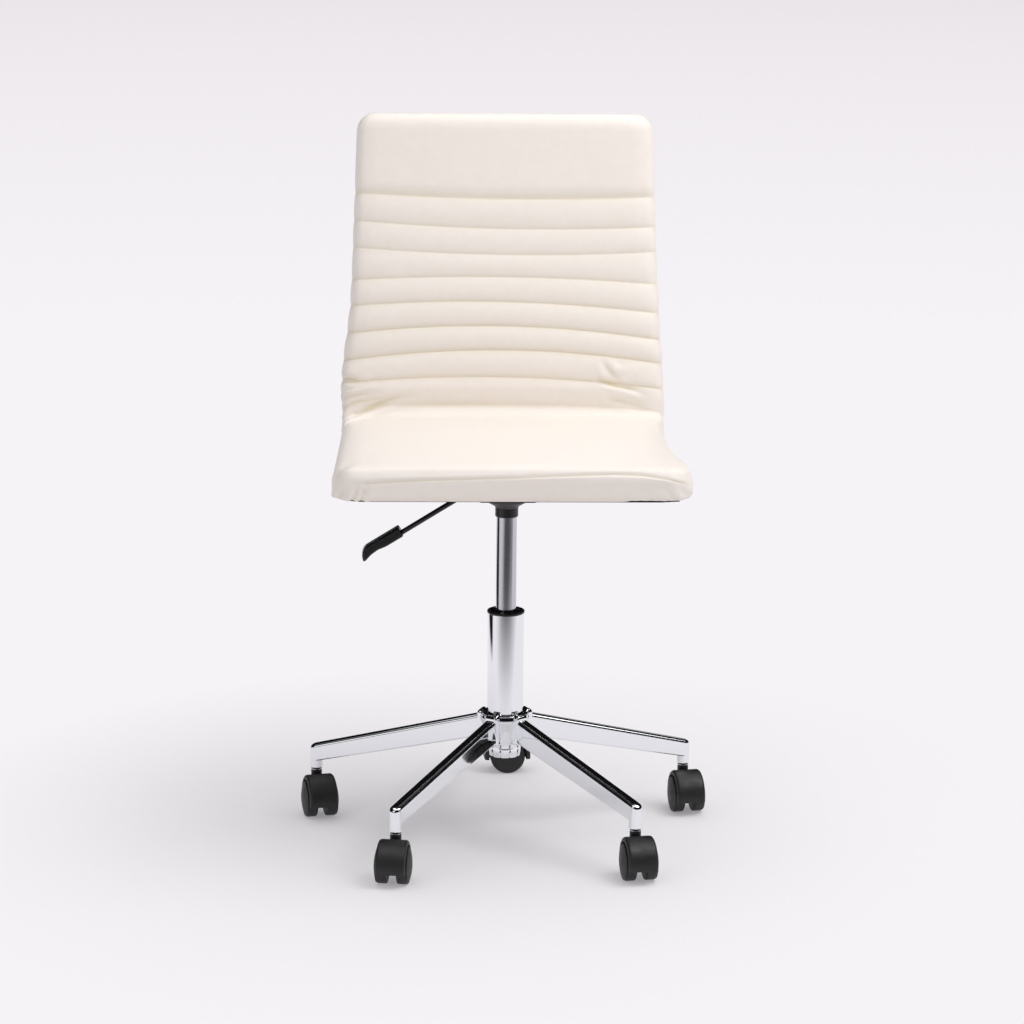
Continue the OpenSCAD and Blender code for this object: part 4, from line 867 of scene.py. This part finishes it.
def buildCover():
    # Rows run from under the seat's front, up the band, over the seat, through the crease and up the back.
    # Each row is a line of the front face; rows at a sewn seam follow that seam's own heights.
    size = cover
    steps = size["sideSteps"]
    total = size["columns"] + 2 * steps + size["rearColumns"]
    across = np.zeros(total)
    across[: size["columns"]] = columnShares()
    across[size["columns"] : size["columns"] + steps] = 1
    across[-steps:] = -1
    across[size["columns"] + steps : -steps] = np.linspace(1, -1, size["rearColumns"])
    groups = []

    def addRows(rear, front, half, depth, isOpen, roof, outer, runs):
        # Rear and front lines, half widths, seam depths; whether the recess is open and its roof; distance run
        groups.append((rear, front, half, depth, isOpen, roof, outer - size["rim"], runs))

    # Front: the band from the shell's edge to the seam, then the top panel's rounded edge
    run, line = noseLine()
    end = run[-1]
    seamX = across * (size["front"] / 2)
    seamRun = np.interp(lookUp(noseSeam, seamX), line[:, 1], run)
    below = np.array(size["bandShares"])[:, None] * (seamRun + size["seamRows"][0])
    near = np.array(size["seamRows"])[:, None] + seamRun
    start = seamRun + size["seamRows"][-1]
    above = start + np.linspace(0, 1, size["overSeam"] + 1)[1:, None] * (end - 3.0 - start)
    rows = np.concatenate([below, near, above])
    seamAway = rows - seamRun
    yFront, zFront = np.moveaxis(sampled(line, run, rows), -1, 0)
    count = len(rows)
    ends = ramp(seamX, -205, -185) * ramp(seamX, 228, 216)
    sunk = size["frontSeamDepth"] * ends * np.exp(-((seamAway / size["frontSeamWidth"]) ** 2))
    yFront = yFront + sunk * 0.8
    zFront = zFront - sunk * 0.6
    yRear = size["nose"][0][0] + 0.26 * np.arange(count)[:, None] + 0 * rows
    zRear = size["shellZ"] + 0 * rows
    zRear[0] = zFront[0] = size["shellZ"]
    # The band's lower edge lifts in scallops from x 146 to 214, over the lining: 2.6 + 1.1 |sin(pi x / 13.5)|
    along = across * 238
    scallop = ramp(along, 146, 156) * ramp(along, 214, 206)
    scallop = scallop * (2.6 + 1.1 * np.abs(np.sin(along * math.pi / 13.5)))
    zFront = zFront + scallop * np.clip(1 - rows / 14, 0, 1)
    zRear = zRear + scallop * np.linspace(1, 0, count)[:, None]
    plan = np.maximum(yFront, -238.6)
    tuck = np.interp(rows, [0, 5, 14, 26], [9.0, 7.0, 2.5, 0.0]) * np.clip((across - 0.6) / 0.4, 0, 1)
    inset = np.interp(rows, [0, 6], [3.0, 0.0]) + tuck
    half = seatHalf(plan) + leanRight(plan, across) - inset
    # Painted shade only: this depth goes no further than the seamDepth attribute, which darkens the front
    # seam's groove; the skin itself sinks by sunk above
    depth = size["seamDepth"] * 0.8 * ends * np.exp(-((seamAway / 1.5) ** 2))
    runs = size["noseEnd"] - size["bendY"] - (end - rows)
    addRows(np.stack([yRear, zRear], -1), np.stack([yFront, zFront], -1), half, depth, np.zeros(count, bool),
            np.zeros((count, 2)), half[:, 0], runs)

    # Seat: plain rows about 4 mm apart
    y = np.linspace(size["noseEnd"] + 3, size["bendY"], size["seatRows"])[:, None] + 0 * across
    yRear = np.linspace(yRear[-1, 0] + 2, size["bendY"], size["seatRows"])[:, None] + 0 * across
    isOpen = yRear[:, 0] > -size["seatFront"] + 18.6
    roof = np.stack([yRear[:, 0], 0 * yRear[:, 0] + size["shellZ"] + size["shell"] + size["recessGap"]], -1)
    half = seatHalf(y)
    addRows(np.stack([yRear, size["shellZ"] + 0 * yRear], -1), np.stack([y, seatTop(y)], -1),
            half + leanRight(y, across), 0 * y, isOpen, roof, half[:, 0], y - size["bendY"])

    # Into the crease round the bend
    turn = np.radians(size["creaseTurn"])
    angle = turn * (np.linspace(0, 1, size["creaseRows"] + 2)[1:-1, None] + 0 * across)
    share = angle / turn
    centre = np.array([size["bendY"], size["bendZ"]])
    thick = size["seatThick"] + (size["creaseThick"] - size["seatThick"]) * share ** 2
    rear = centre + size["bend"] * radial(angle)
    roof = centre + (size["bend"] - size["shell"] - size["recessGap"]) * radial(angle[:, 0])
    lean = leanRight(size["bendY"], across)
    addRows(rear, rear - thick[..., None] * radial(angle), size["waist"] / 2 + lean * (1 - 0.3 * share),
            0 * angle, np.ones(len(angle), bool), roof, np.full(len(angle), size["waist"] / 2), 40 * share)

    # Back: nine seams with eight ribs between them, then the plain top
    pitch = size["seamPitch"]
    seamU = size["firstSeam"] + pitch * np.arange(size["seamCount"])
    plainEnd = size["backLength"] - size["topRound"]
    u = np.concatenate([
        size["belowSeam"], (seamU[:3, None] + np.array(size["fineRows"]) * pitch).ravel(),
        (seamU[3:-1, None] + np.array(size["ribRows"]) * pitch).ravel(),
        seamU[-1] + np.array([0, 1.2, 4, 9, 15]), np.linspace(seamU[-1] + 20, plainEnd, 20),
    ])
    knots = np.concatenate([[-40], seamU, [plainEnd, size["backLength"]]])
    heights = np.vstack([[0, 0, 0], seamHeights, [0, 0, 0], [0, 0, 0]])
    left, middle, right = (np.interp(u, knots, heights[:, i])[:, None] for i in range(3))
    s = across[None] / 0.85
    bend = middle + (right - left) / 2 * s + ((right + left) / 2 - middle) * s ** 2
    bend = bend * np.where(np.abs(across) < 0.99, 1, 0.9)
    ub = u[:, None] + bend
    # Ribs: the skin rises from each seam as |sin(pi phase)|^0.62, and as 1 - e^-(d/5)^2 or 1 - e^-(d/9)^2 below
    # the lowest and above the highest seam
    phase = (u - seamU[0]) / pitch
    last = size["seamCount"] - 1
    wave = np.abs(np.sin(math.pi * phase)) ** 0.62
    wave = np.where(phase < 0, 1 - np.exp(-((phase * pitch / 5) ** 2)), wave)
    wave = np.where(phase > last, 1 - np.exp(-(((phase - last) * pitch / 9) ** 2)), wave)
    deep = np.interp(phase, np.arange(size["seamCount"]), size["depths"])
    depth = (deep * (1 - wave))[:, None] + 0 * ub
    rear, out = backLine(ub)
    roofLine, roofOut = backLine(u)
    roof = roofLine - (size["shell"] + size["recessGap"]) * roofOut
    front = rear - (backThick(ub) - depth)[..., None] * out
    fade = np.interp(u, [0, 120], [0.7, 0])[:, None]
    nominal = backHalf(ub) - cornerCut(size["topCorner"], size["backLength"] - ub)
    half = nominal - depth * 0.35 + lean * fade
    addRows(rear, front, half, depth, np.ones(len(u), bool), roof, nominal[:, 0], 40 + ub)

    # Top edge: both faces turn in to meet
    turns = np.radians([14, 28, 42, 54, 64, 73, 81])[:, None] + 0 * across
    ut = size["backLength"] - size["topRound"] * (1 - np.sin(turns))
    rear, out = backLine(ut)
    thick = backThick(ut)
    middleLine = rear - (thick / 2)[..., None] * out
    swing = np.cos(turns)[..., None] ** 0.8
    front = middleLine + (rear - thick[..., None] * out - middleLine) * swing
    rear = middleLine + (rear - middleLine) * swing
    half = backHalf(ut) - cornerCut(size["topCorner"], size["backLength"] - ut)
    isOpen = ut[:, 0] < size["backLength"] - 13
    topLine, topOut = backLine(ut[:, 0])
    roof = topLine - (size["shell"] + size["recessGap"]) * topOut
    addRows(rear, front, half, 0 * ut, isOpen, roof, half[:, 0], 40 + ut)

    rear, front, half, depth, isOpen, roof, inner, runs = (np.concatenate(rows) for rows in zip(*groups))
    left, right = (lookUp(size["spread"], runs, side) for side in (1, 2))
    half = half + left * (0.5 - 0.5 * across) + right * (0.5 + 0.5 * across)
    rings, count, split, lastSide = coverRings(rear, front, half, inner, roof, isOpen)
    # Soften the turn from seat to crease: 21 rows are evened out 24 times
    first, softRows = len(groups[0][0]) + len(groups[1][0]) - 7, 21
    for _ in range(24):
        for columns in (slice(0, split), slice(lastSide, None)):
            near = rings[first - 1 : first + softRows + 1, columns]
            rings[first : first + softRows, columns] = (near[:-2] + 2 * near[1:-1] + near[2:]) / 4
    # The seat's front corners: rows swing back towards their ends, less and less further back
    reach = np.abs(rings[..., 0]) - (np.abs(half) - size["frontCorner"])
    swing = size["frontCorner"] * (1 - np.sqrt(1 - np.clip(reach / size["frontCorner"], 0, 0.995) ** 2))
    share = np.clip((-rings[..., 1] - 95) / 145, 0, 1) * (rings[..., 2] < 620)
    rings[..., 1] += swing * share ** 1.5 * (3 - share) / 2
    rings, core = creased(rings, runs, count, split, lastSide)
    # The seams' depths and the folds' cores come back as a mask of painted shade for the skin
    return rings, depth + size["foldShade"] * core, count, split, lastSide


def foldDepth(x, run):
    # Sum of the folds, each depth * fade * (e^-(d / w)^1.3 - 0.3 e^-(d / w - 2.2)^2) at the distance d from its
    # line, with a half width w that grows along it; and of their cores, where shade is painted, depth * fade *
    # e^-(2 d / w)^2
    total, core = 0 * x, 0 * x
    for depth, width, points in folds:
        points = np.array(points, float)
        lengths, before = np.hypot(*np.diff(points, axis=0).T), runAlong(points)
        nearest, along = np.full(x.shape, 1e9), 0 * x
        for a, b, start, length in zip(points[:-1], points[1:], before, lengths):
            way = (b - a) / length
            walked = np.clip((x - a[0]) * way[0] + (run - a[1]) * way[1], 0, length)
            away = (x - a[0] - walked * way[0]) ** 2 + (run - a[1] - walked * way[1]) ** 2
            along = np.where(away < nearest, (start + walked) / before[-1], along)
            nearest = np.minimum(nearest, away)
        fade = np.sin(math.pi / 2 * np.clip((1.0 - along) / 0.75, 0, 1)) ** 1.5 * np.clip(0.4 + along * 3, 0, 1)
        spread = width * (1 + 0.6 * along)
        total += depth * fade * np.exp(-(nearest / spread ** 2) ** 0.65)
        core += max(depth, 0) * fade * np.exp(-nearest / (0.5 * spread) ** 2)
        total -= 0.3 * depth * fade * np.exp(-((np.sqrt(nearest) - 2.2 * spread) / spread) ** 2)
    return total, core


def creased(rings, runs, count, split, lastSide):
    # Moves the front face's points inwards, square to the face, by the depth of the folds
    slope = np.gradient(rings, axis=0)
    acrossWay = np.roll(rings, -1, 1) - np.roll(rings, 1, 1)
    square = np.cross(acrossWay, slope)
    square /= np.linalg.norm(square, axis=2, keepdims=True) + 1e-9
    depth, core = foldDepth(rings[..., 0], runs)
    shows = np.zeros(rings.shape[1])
    shows[:count] = 1
    side = split - count
    fade = np.clip(np.linspace(1.8, 0, side + 1)[:-1], 0, 1)
    shows[count:split], shows[lastSide:] = fade, fade[::-1]
    return rings - square * (depth * shows)[..., None], core * shows


def ladder(row, total, count, split, lastSide, flip):
    # Closes an end ring: each step of the rear line meets four steps of the front line, then come its two sides
    base = row * total
    frontLine = base + np.arange(count)[::-1]
    rearLine = base + np.arange(split, lastSide)
    faces = []
    for k in range(len(rearLine) - 1):
        fan = frontLine[4 * k : 4 * k + 5]
        faces += [[rearLine[k], fan[i], fan[i + 1]] for i in range(4)]
        faces.append([rearLine[k], fan[4], rearLine[k + 1]])
    rightSide = base + np.arange(count - 1, split + 1)
    leftSide = np.concatenate([base + np.arange(lastSide - 1, total), [base]])
    faces.append(list(rightSide[::-1]))
    faces.append(list(leftSide[::-1]))
    return [[int(c) for c in (face if flip else face[::-1])] for face in faces]


rings, seamAndFoldShade, frontCount, rimStart, rimEnd = buildCover()
bandRows = len(cover["bandShares"]) + len(cover["seamRows"]) + cover["overSeam"]
rowCount, ringCount = rings.shape[:2]
faces = (
    gridFaces(rowCount, ringCount)
    + ladder(0, ringCount, frontCount, rimStart, rimEnd, False)
    + ladder(rowCount - 1, ringCount, frontCount, rimStart, rimEnd, True)
)
coverMesh = bpy.data.meshes.new("seatAndBackCover")
coverMesh.from_pydata(inMetres(rings.reshape(-1, 3)).tolist(), [], faces)
work = bmesh.new()
work.from_mesh(coverMesh)
print("cover volume", work.calc_volume(signed=True), "open edges", sum(not e.is_manifold for e in work.edges))
if work.calc_volume(signed=True) < 0:
    bmesh.ops.reverse_faces(work, faces=work.faces)
work.to_mesh(coverMesh)
work.free()
coverMesh.shade_smooth()
seatCover = newObject("seatAndBackCover", coverMesh)
# Painted shade: seamDepth holds the seams' depths and the folds' cores, squared, and darkens and yellows the
# skin there
grooves = coverMesh.attributes.new("seamDepth", "FLOAT", "POINT")
shade = np.clip(seamAndFoldShade / cover["seamDepth"], 0, 1) ** 2
grooves.data.foreach_set("value", shade.astype(np.float32).ravel())
smoothing = seatCover.modifiers.new("roundOff", "SUBSURF")
smoothing.levels = smoothing.render_levels = 1
addPiece(seatCover, "seat", "padding", "seat_pad", "back_pad")
print("cover made:", len(coverMesh.vertices), "points")

# ---- Edge of the lining, and the sewing

stitching = {"back": (5.7, 3.3, 0.8), "front": (4.2, 2.6, 0.6), "sink": 0.25}  # pitch, length and thickness


def liningEdge():
    # Strip of lining that shows under the scalloped edge: it waves along the seat's front and folds under
    x = np.linspace(140, 218, 53)
    wave = 0.6 * np.sin(x * 0.47) + 0.4 * np.sin(x * 0.93 + 1)
    ring = np.array([(-226.0, 512.6), (-233.4, 512.9), (-234.2, 514.2), (-234.0, 518.0), (-232.8, 518.2),
                     (-232.6, 514.4), (-226.0, 513.9)])
    fade = np.clip(np.minimum(x - 139.5, 218.5 - x) / 8, 0.15, 1)
    y = ring[None, :, 0] + (0.35 * wave)[:, None]
    z = 512.6 + (ring[None, :, 1] - 512.6) * fade[:, None] - 0.25 * np.maximum(wave, 0)[:, None]
    return lofted(np.stack([x[:, None] + 0 * y, y + 6 * np.clip((x[:, None] - 200) / 20, 0, 1) ** 2, z], -1))


def stitchesAlong(line, square, pitch, length, thick):
    # Short rounded threads lying along a line on the skin, one at every pitch
    run = np.concatenate([[0], np.cumsum(np.linalg.norm(np.diff(line, axis=0), axis=1))])
    starts = np.arange(pitch, run[-1] - pitch, pitch)
    spots = starts[:, None] + np.linspace(0, length, 7)
    centre, up = sampled(line, run, spots), sampled(square, run, spots)
    ahead = np.gradient(centre, axis=1)
    ahead /= np.linalg.norm(ahead, axis=2, keepdims=True)
    up /= np.linalg.norm(up, axis=2, keepdims=True)
    aside = np.cross(ahead, up)
    bulge = np.sqrt(np.clip(1 - np.linspace(-0.97, 0.97, 7) ** 2, 0, 1)) * thick / 2
    centre = centre + up * (bulge - stitching["sink"])[None, :, None]
    turn = fullTurn(8)[:, None]
    spoke = np.cos(turn) * aside[:, :, None] + np.sin(turn) * up[:, :, None]
    return joined(*(lofted(rings) for rings in centre[:, :, None] + bulge[:, None, None] * spoke))


def facing(rows):
    # Outward directions of the cover's front face along one of its rows
    across = np.gradient(rings[rows, :frontCount], axis=0)
    upward = rings[rows + 1, :frontCount] - rings[rows - 1, :frontCount]
    square = np.cross(across, upward)
    return square / np.linalg.norm(square, axis=1, keepdims=True)


def sewnRow(row, first, last, *sizes):
    return stitchesAlong(rings[row, first:last], facing(row)[first:last], *sizes)


# The back's stitches run two rows above its lowest seam, the front's 3.8 mm above the front seam
backRow = bandRows + cover["seatRows"] + cover["creaseRows"] + len(cover["belowSeam"]) + 2
frontRow = len(cover["bandShares"]) + 7
backThreads = sewnRow(backRow, 23, frontCount - 19, *stitching["back"])
frontThreads = sewnRow(frontRow, 21, frontCount - 17, *stitching["front"])
makePiece("backStitches", backThreads, "seat", "padding", sharp=80, finish="sewingThread")
makePiece("frontStitches", frontThreads, "seat", "padding", sharp=80, finish="sewingThread")
makePiece("liningEdge", liningEdge(), "seat", "lining", sharp=60)
print("sewing made")

# ---- Finishes of the parts kept from CAD

slotOf = {part["node"]: part["material_slot"] for part in frame["record"]["subparts"]}
for name, node in frame["nodes"].items():
    node.data.materials.clear()
    node.data.materials.append(bpy.data.materials[slotFinish[slotOf[name]]])

# ---- Floor, sky and lamps

studio = {
    "floorRadius": 30.0, "floorColour": "#F0EEEF", "backdrop": "#F6F3F7", "farBackdrop": "#E9E4E8",
    "paperEnds": (0.05, 0.85), "skyLevel": 0.52, "keyPower": 37.0, "fillPower": 10.0, "overheadPower": 32.5,
    # painted reflections: dark patches on the floor that only glossy rays see, so only the metal shows them:
    # centre x, y, half width, half length, edge, strength
    "paintedReflections": [
        (0.35, -2.7, 0.95, 1.35, 0.9, 0.9), (-1.9, 0.6, 0.9, 0.5, 0.15, 1.0), (1.8, -1.5, 0.6, 0.7, 0.4, 0.7),
    ],
}


def studioFloor():
    # Matt paper: takes the shadows near the chair and runs into a pale backdrop further out, with painted shade
    # that darkens it far off
    material = bpy.data.materials.new("studioPaper")
    tree = emptyTree(material)

    def mathOf(a, b=0.5, operation="MULTIPLY"):
        return addNode(tree, "Math", {0: a, 1: b}, operation=operation).outputs[0]

    paper = addNode(tree, "BsdfDiffuse", {"Color": hexColour(studio["floorColour"])})
    place = addNode(tree, "TexCoord").outputs["Object"]
    distance = addNode(tree, "VectorMath", {0: place}, operation="LENGTH").outputs["Value"]
    axes = addNode(tree, "SeparateXYZ", {0: place}).outputs
    path = addNode(tree, "LightPath")
    dark = None
    for x, y, halfX, halfY, edge, strength in studio["paintedReflections"]:
        sides = []
        for axis, centre, half, level in (("X", x, halfX, strength), ("Y", y, halfY, 1.0)):
            away = mathOf(mathOf(axes[axis], centre, "SUBTRACT"), operation="ABSOLUTE")
            sides.append(spreadOf(tree, away, level, 0.0, half, half + edge))
        patch = mathOf(*sides)
        dark = patch if dark is None else mathOf(dark, patch, "MAXIMUM")
    # Painted reflection: the dark patches show only to glossy rays
    dark = mathOf(dark, path.outputs["Is Glossy Ray"])
    # Painted shade: from 4 to 14 m out the backdrop darkens, standing in for light falling off
    shade = spreadOf(tree, distance, 0.0, 1.0, 4.0, 14.0)
    even = blendColours(tree, shade, studio["backdrop"], studio["farBackdrop"])
    colour = blendColours(tree, dark, even, "#1A1A1C")
    glow = addNode(tree, "Emission", {"Color": colour, "Strength": 1.0})
    far = spreadOf(tree, distance, 0.0, 1.0, *studio["paperEnds"])
    seen = mathOf(path.outputs["Is Camera Ray"], path.outputs["Is Glossy Ray"], "MAXIMUM")
    mix = addNode(tree, "MixShader", {0: mathOf(far, seen), 1: paper.outputs[0], 2: glow.outputs[0]})
    addNode(tree, "OutputMaterial", {"Surface": mix.outputs[0]})
    return material


floorMesh = bpy.data.meshes.new("studioFloor")
radius = studio["floorRadius"]
rim = [(radius * math.cos(turn), radius * math.sin(turn), 0) for turn in fullTurn(96)]
floorMesh.from_pydata(rim, [], [list(range(len(rim)))])
floorMesh.materials.append(studioFloor())
floor = newObject("studioFloor", floorMesh)

world = bpy.data.worlds.new("studioSky")
bpy.context.scene.world = world
tree = emptyTree(world)
# Painted reflection: glossy rays see the backdrop low down, a dark sky above it and white overhead; camera rays
# see the backdrop, other rays an even sky
direction = addNode(tree, "TexCoord").outputs["Generated"]
height = addNode(tree, "SeparateXYZ", {0: direction}).outputs["Z"]
path = addNode(tree, "LightPath")
rising = spreadOf(tree, height, 0.0, 1.0, 0.0, 0.07)
zenith = spreadOf(tree, height, 0.0, 1.0, 0.8, 0.9)
reflected = blendColours(tree, zenith, blendColours(tree, rising, studio["backdrop"], "#101012"), "#FFFFFF")
sky = addNode(tree, "Background", {"Color": hexColour("#F6F4F8"), "Strength": studio["skyLevel"]})
seenSky = addNode(tree, "Background", {"Color": hexColour(studio["backdrop"]), "Strength": 1.0})
mirrorSky = addNode(tree, "Background", {"Color": reflected, "Strength": 1.0})
for ray, other in (("Is Glossy Ray", mirrorSky), ("Is Camera Ray", seenSky)):
    sky = addNode(tree, "MixShader", {0: path.outputs[ray], 1: sky.outputs[0], 2: other.outputs[0]})
addNode(tree, "OutputWorld", {"Surface": sky.outputs[0]})


def softbox(name, place, target, width, height, power):
    lamp = bpy.data.lights.new(name, "AREA")
    lamp.shape, lamp.size, lamp.size_y, lamp.energy = "RECTANGLE", width, height, power
    holder = newObject(name, lamp)
    away = Matrix.Translation(place).to_translation() - Matrix.Translation(target).to_translation()
    holder.matrix_world = Matrix.Translation(place) @ away.to_track_quat("Z", "Y").to_matrix().to_4x4()
    holder.visible_camera = False


softbox("keySoftbox", (1.5, -0.6, 2.6), (0, 0, 0.6), 2.0, 1.6, studio["keyPower"])
softbox("fillSoftbox", (-2.2, -2.4, 1.8), (0, 0, 0.6), 2.0, 1.6, studio["fillPower"])
softbox("overheadSoftbox", (0, 0, 3.4), (0, 0, 0), 4.0, 4.0, studio["overheadPower"])
print("studio made")
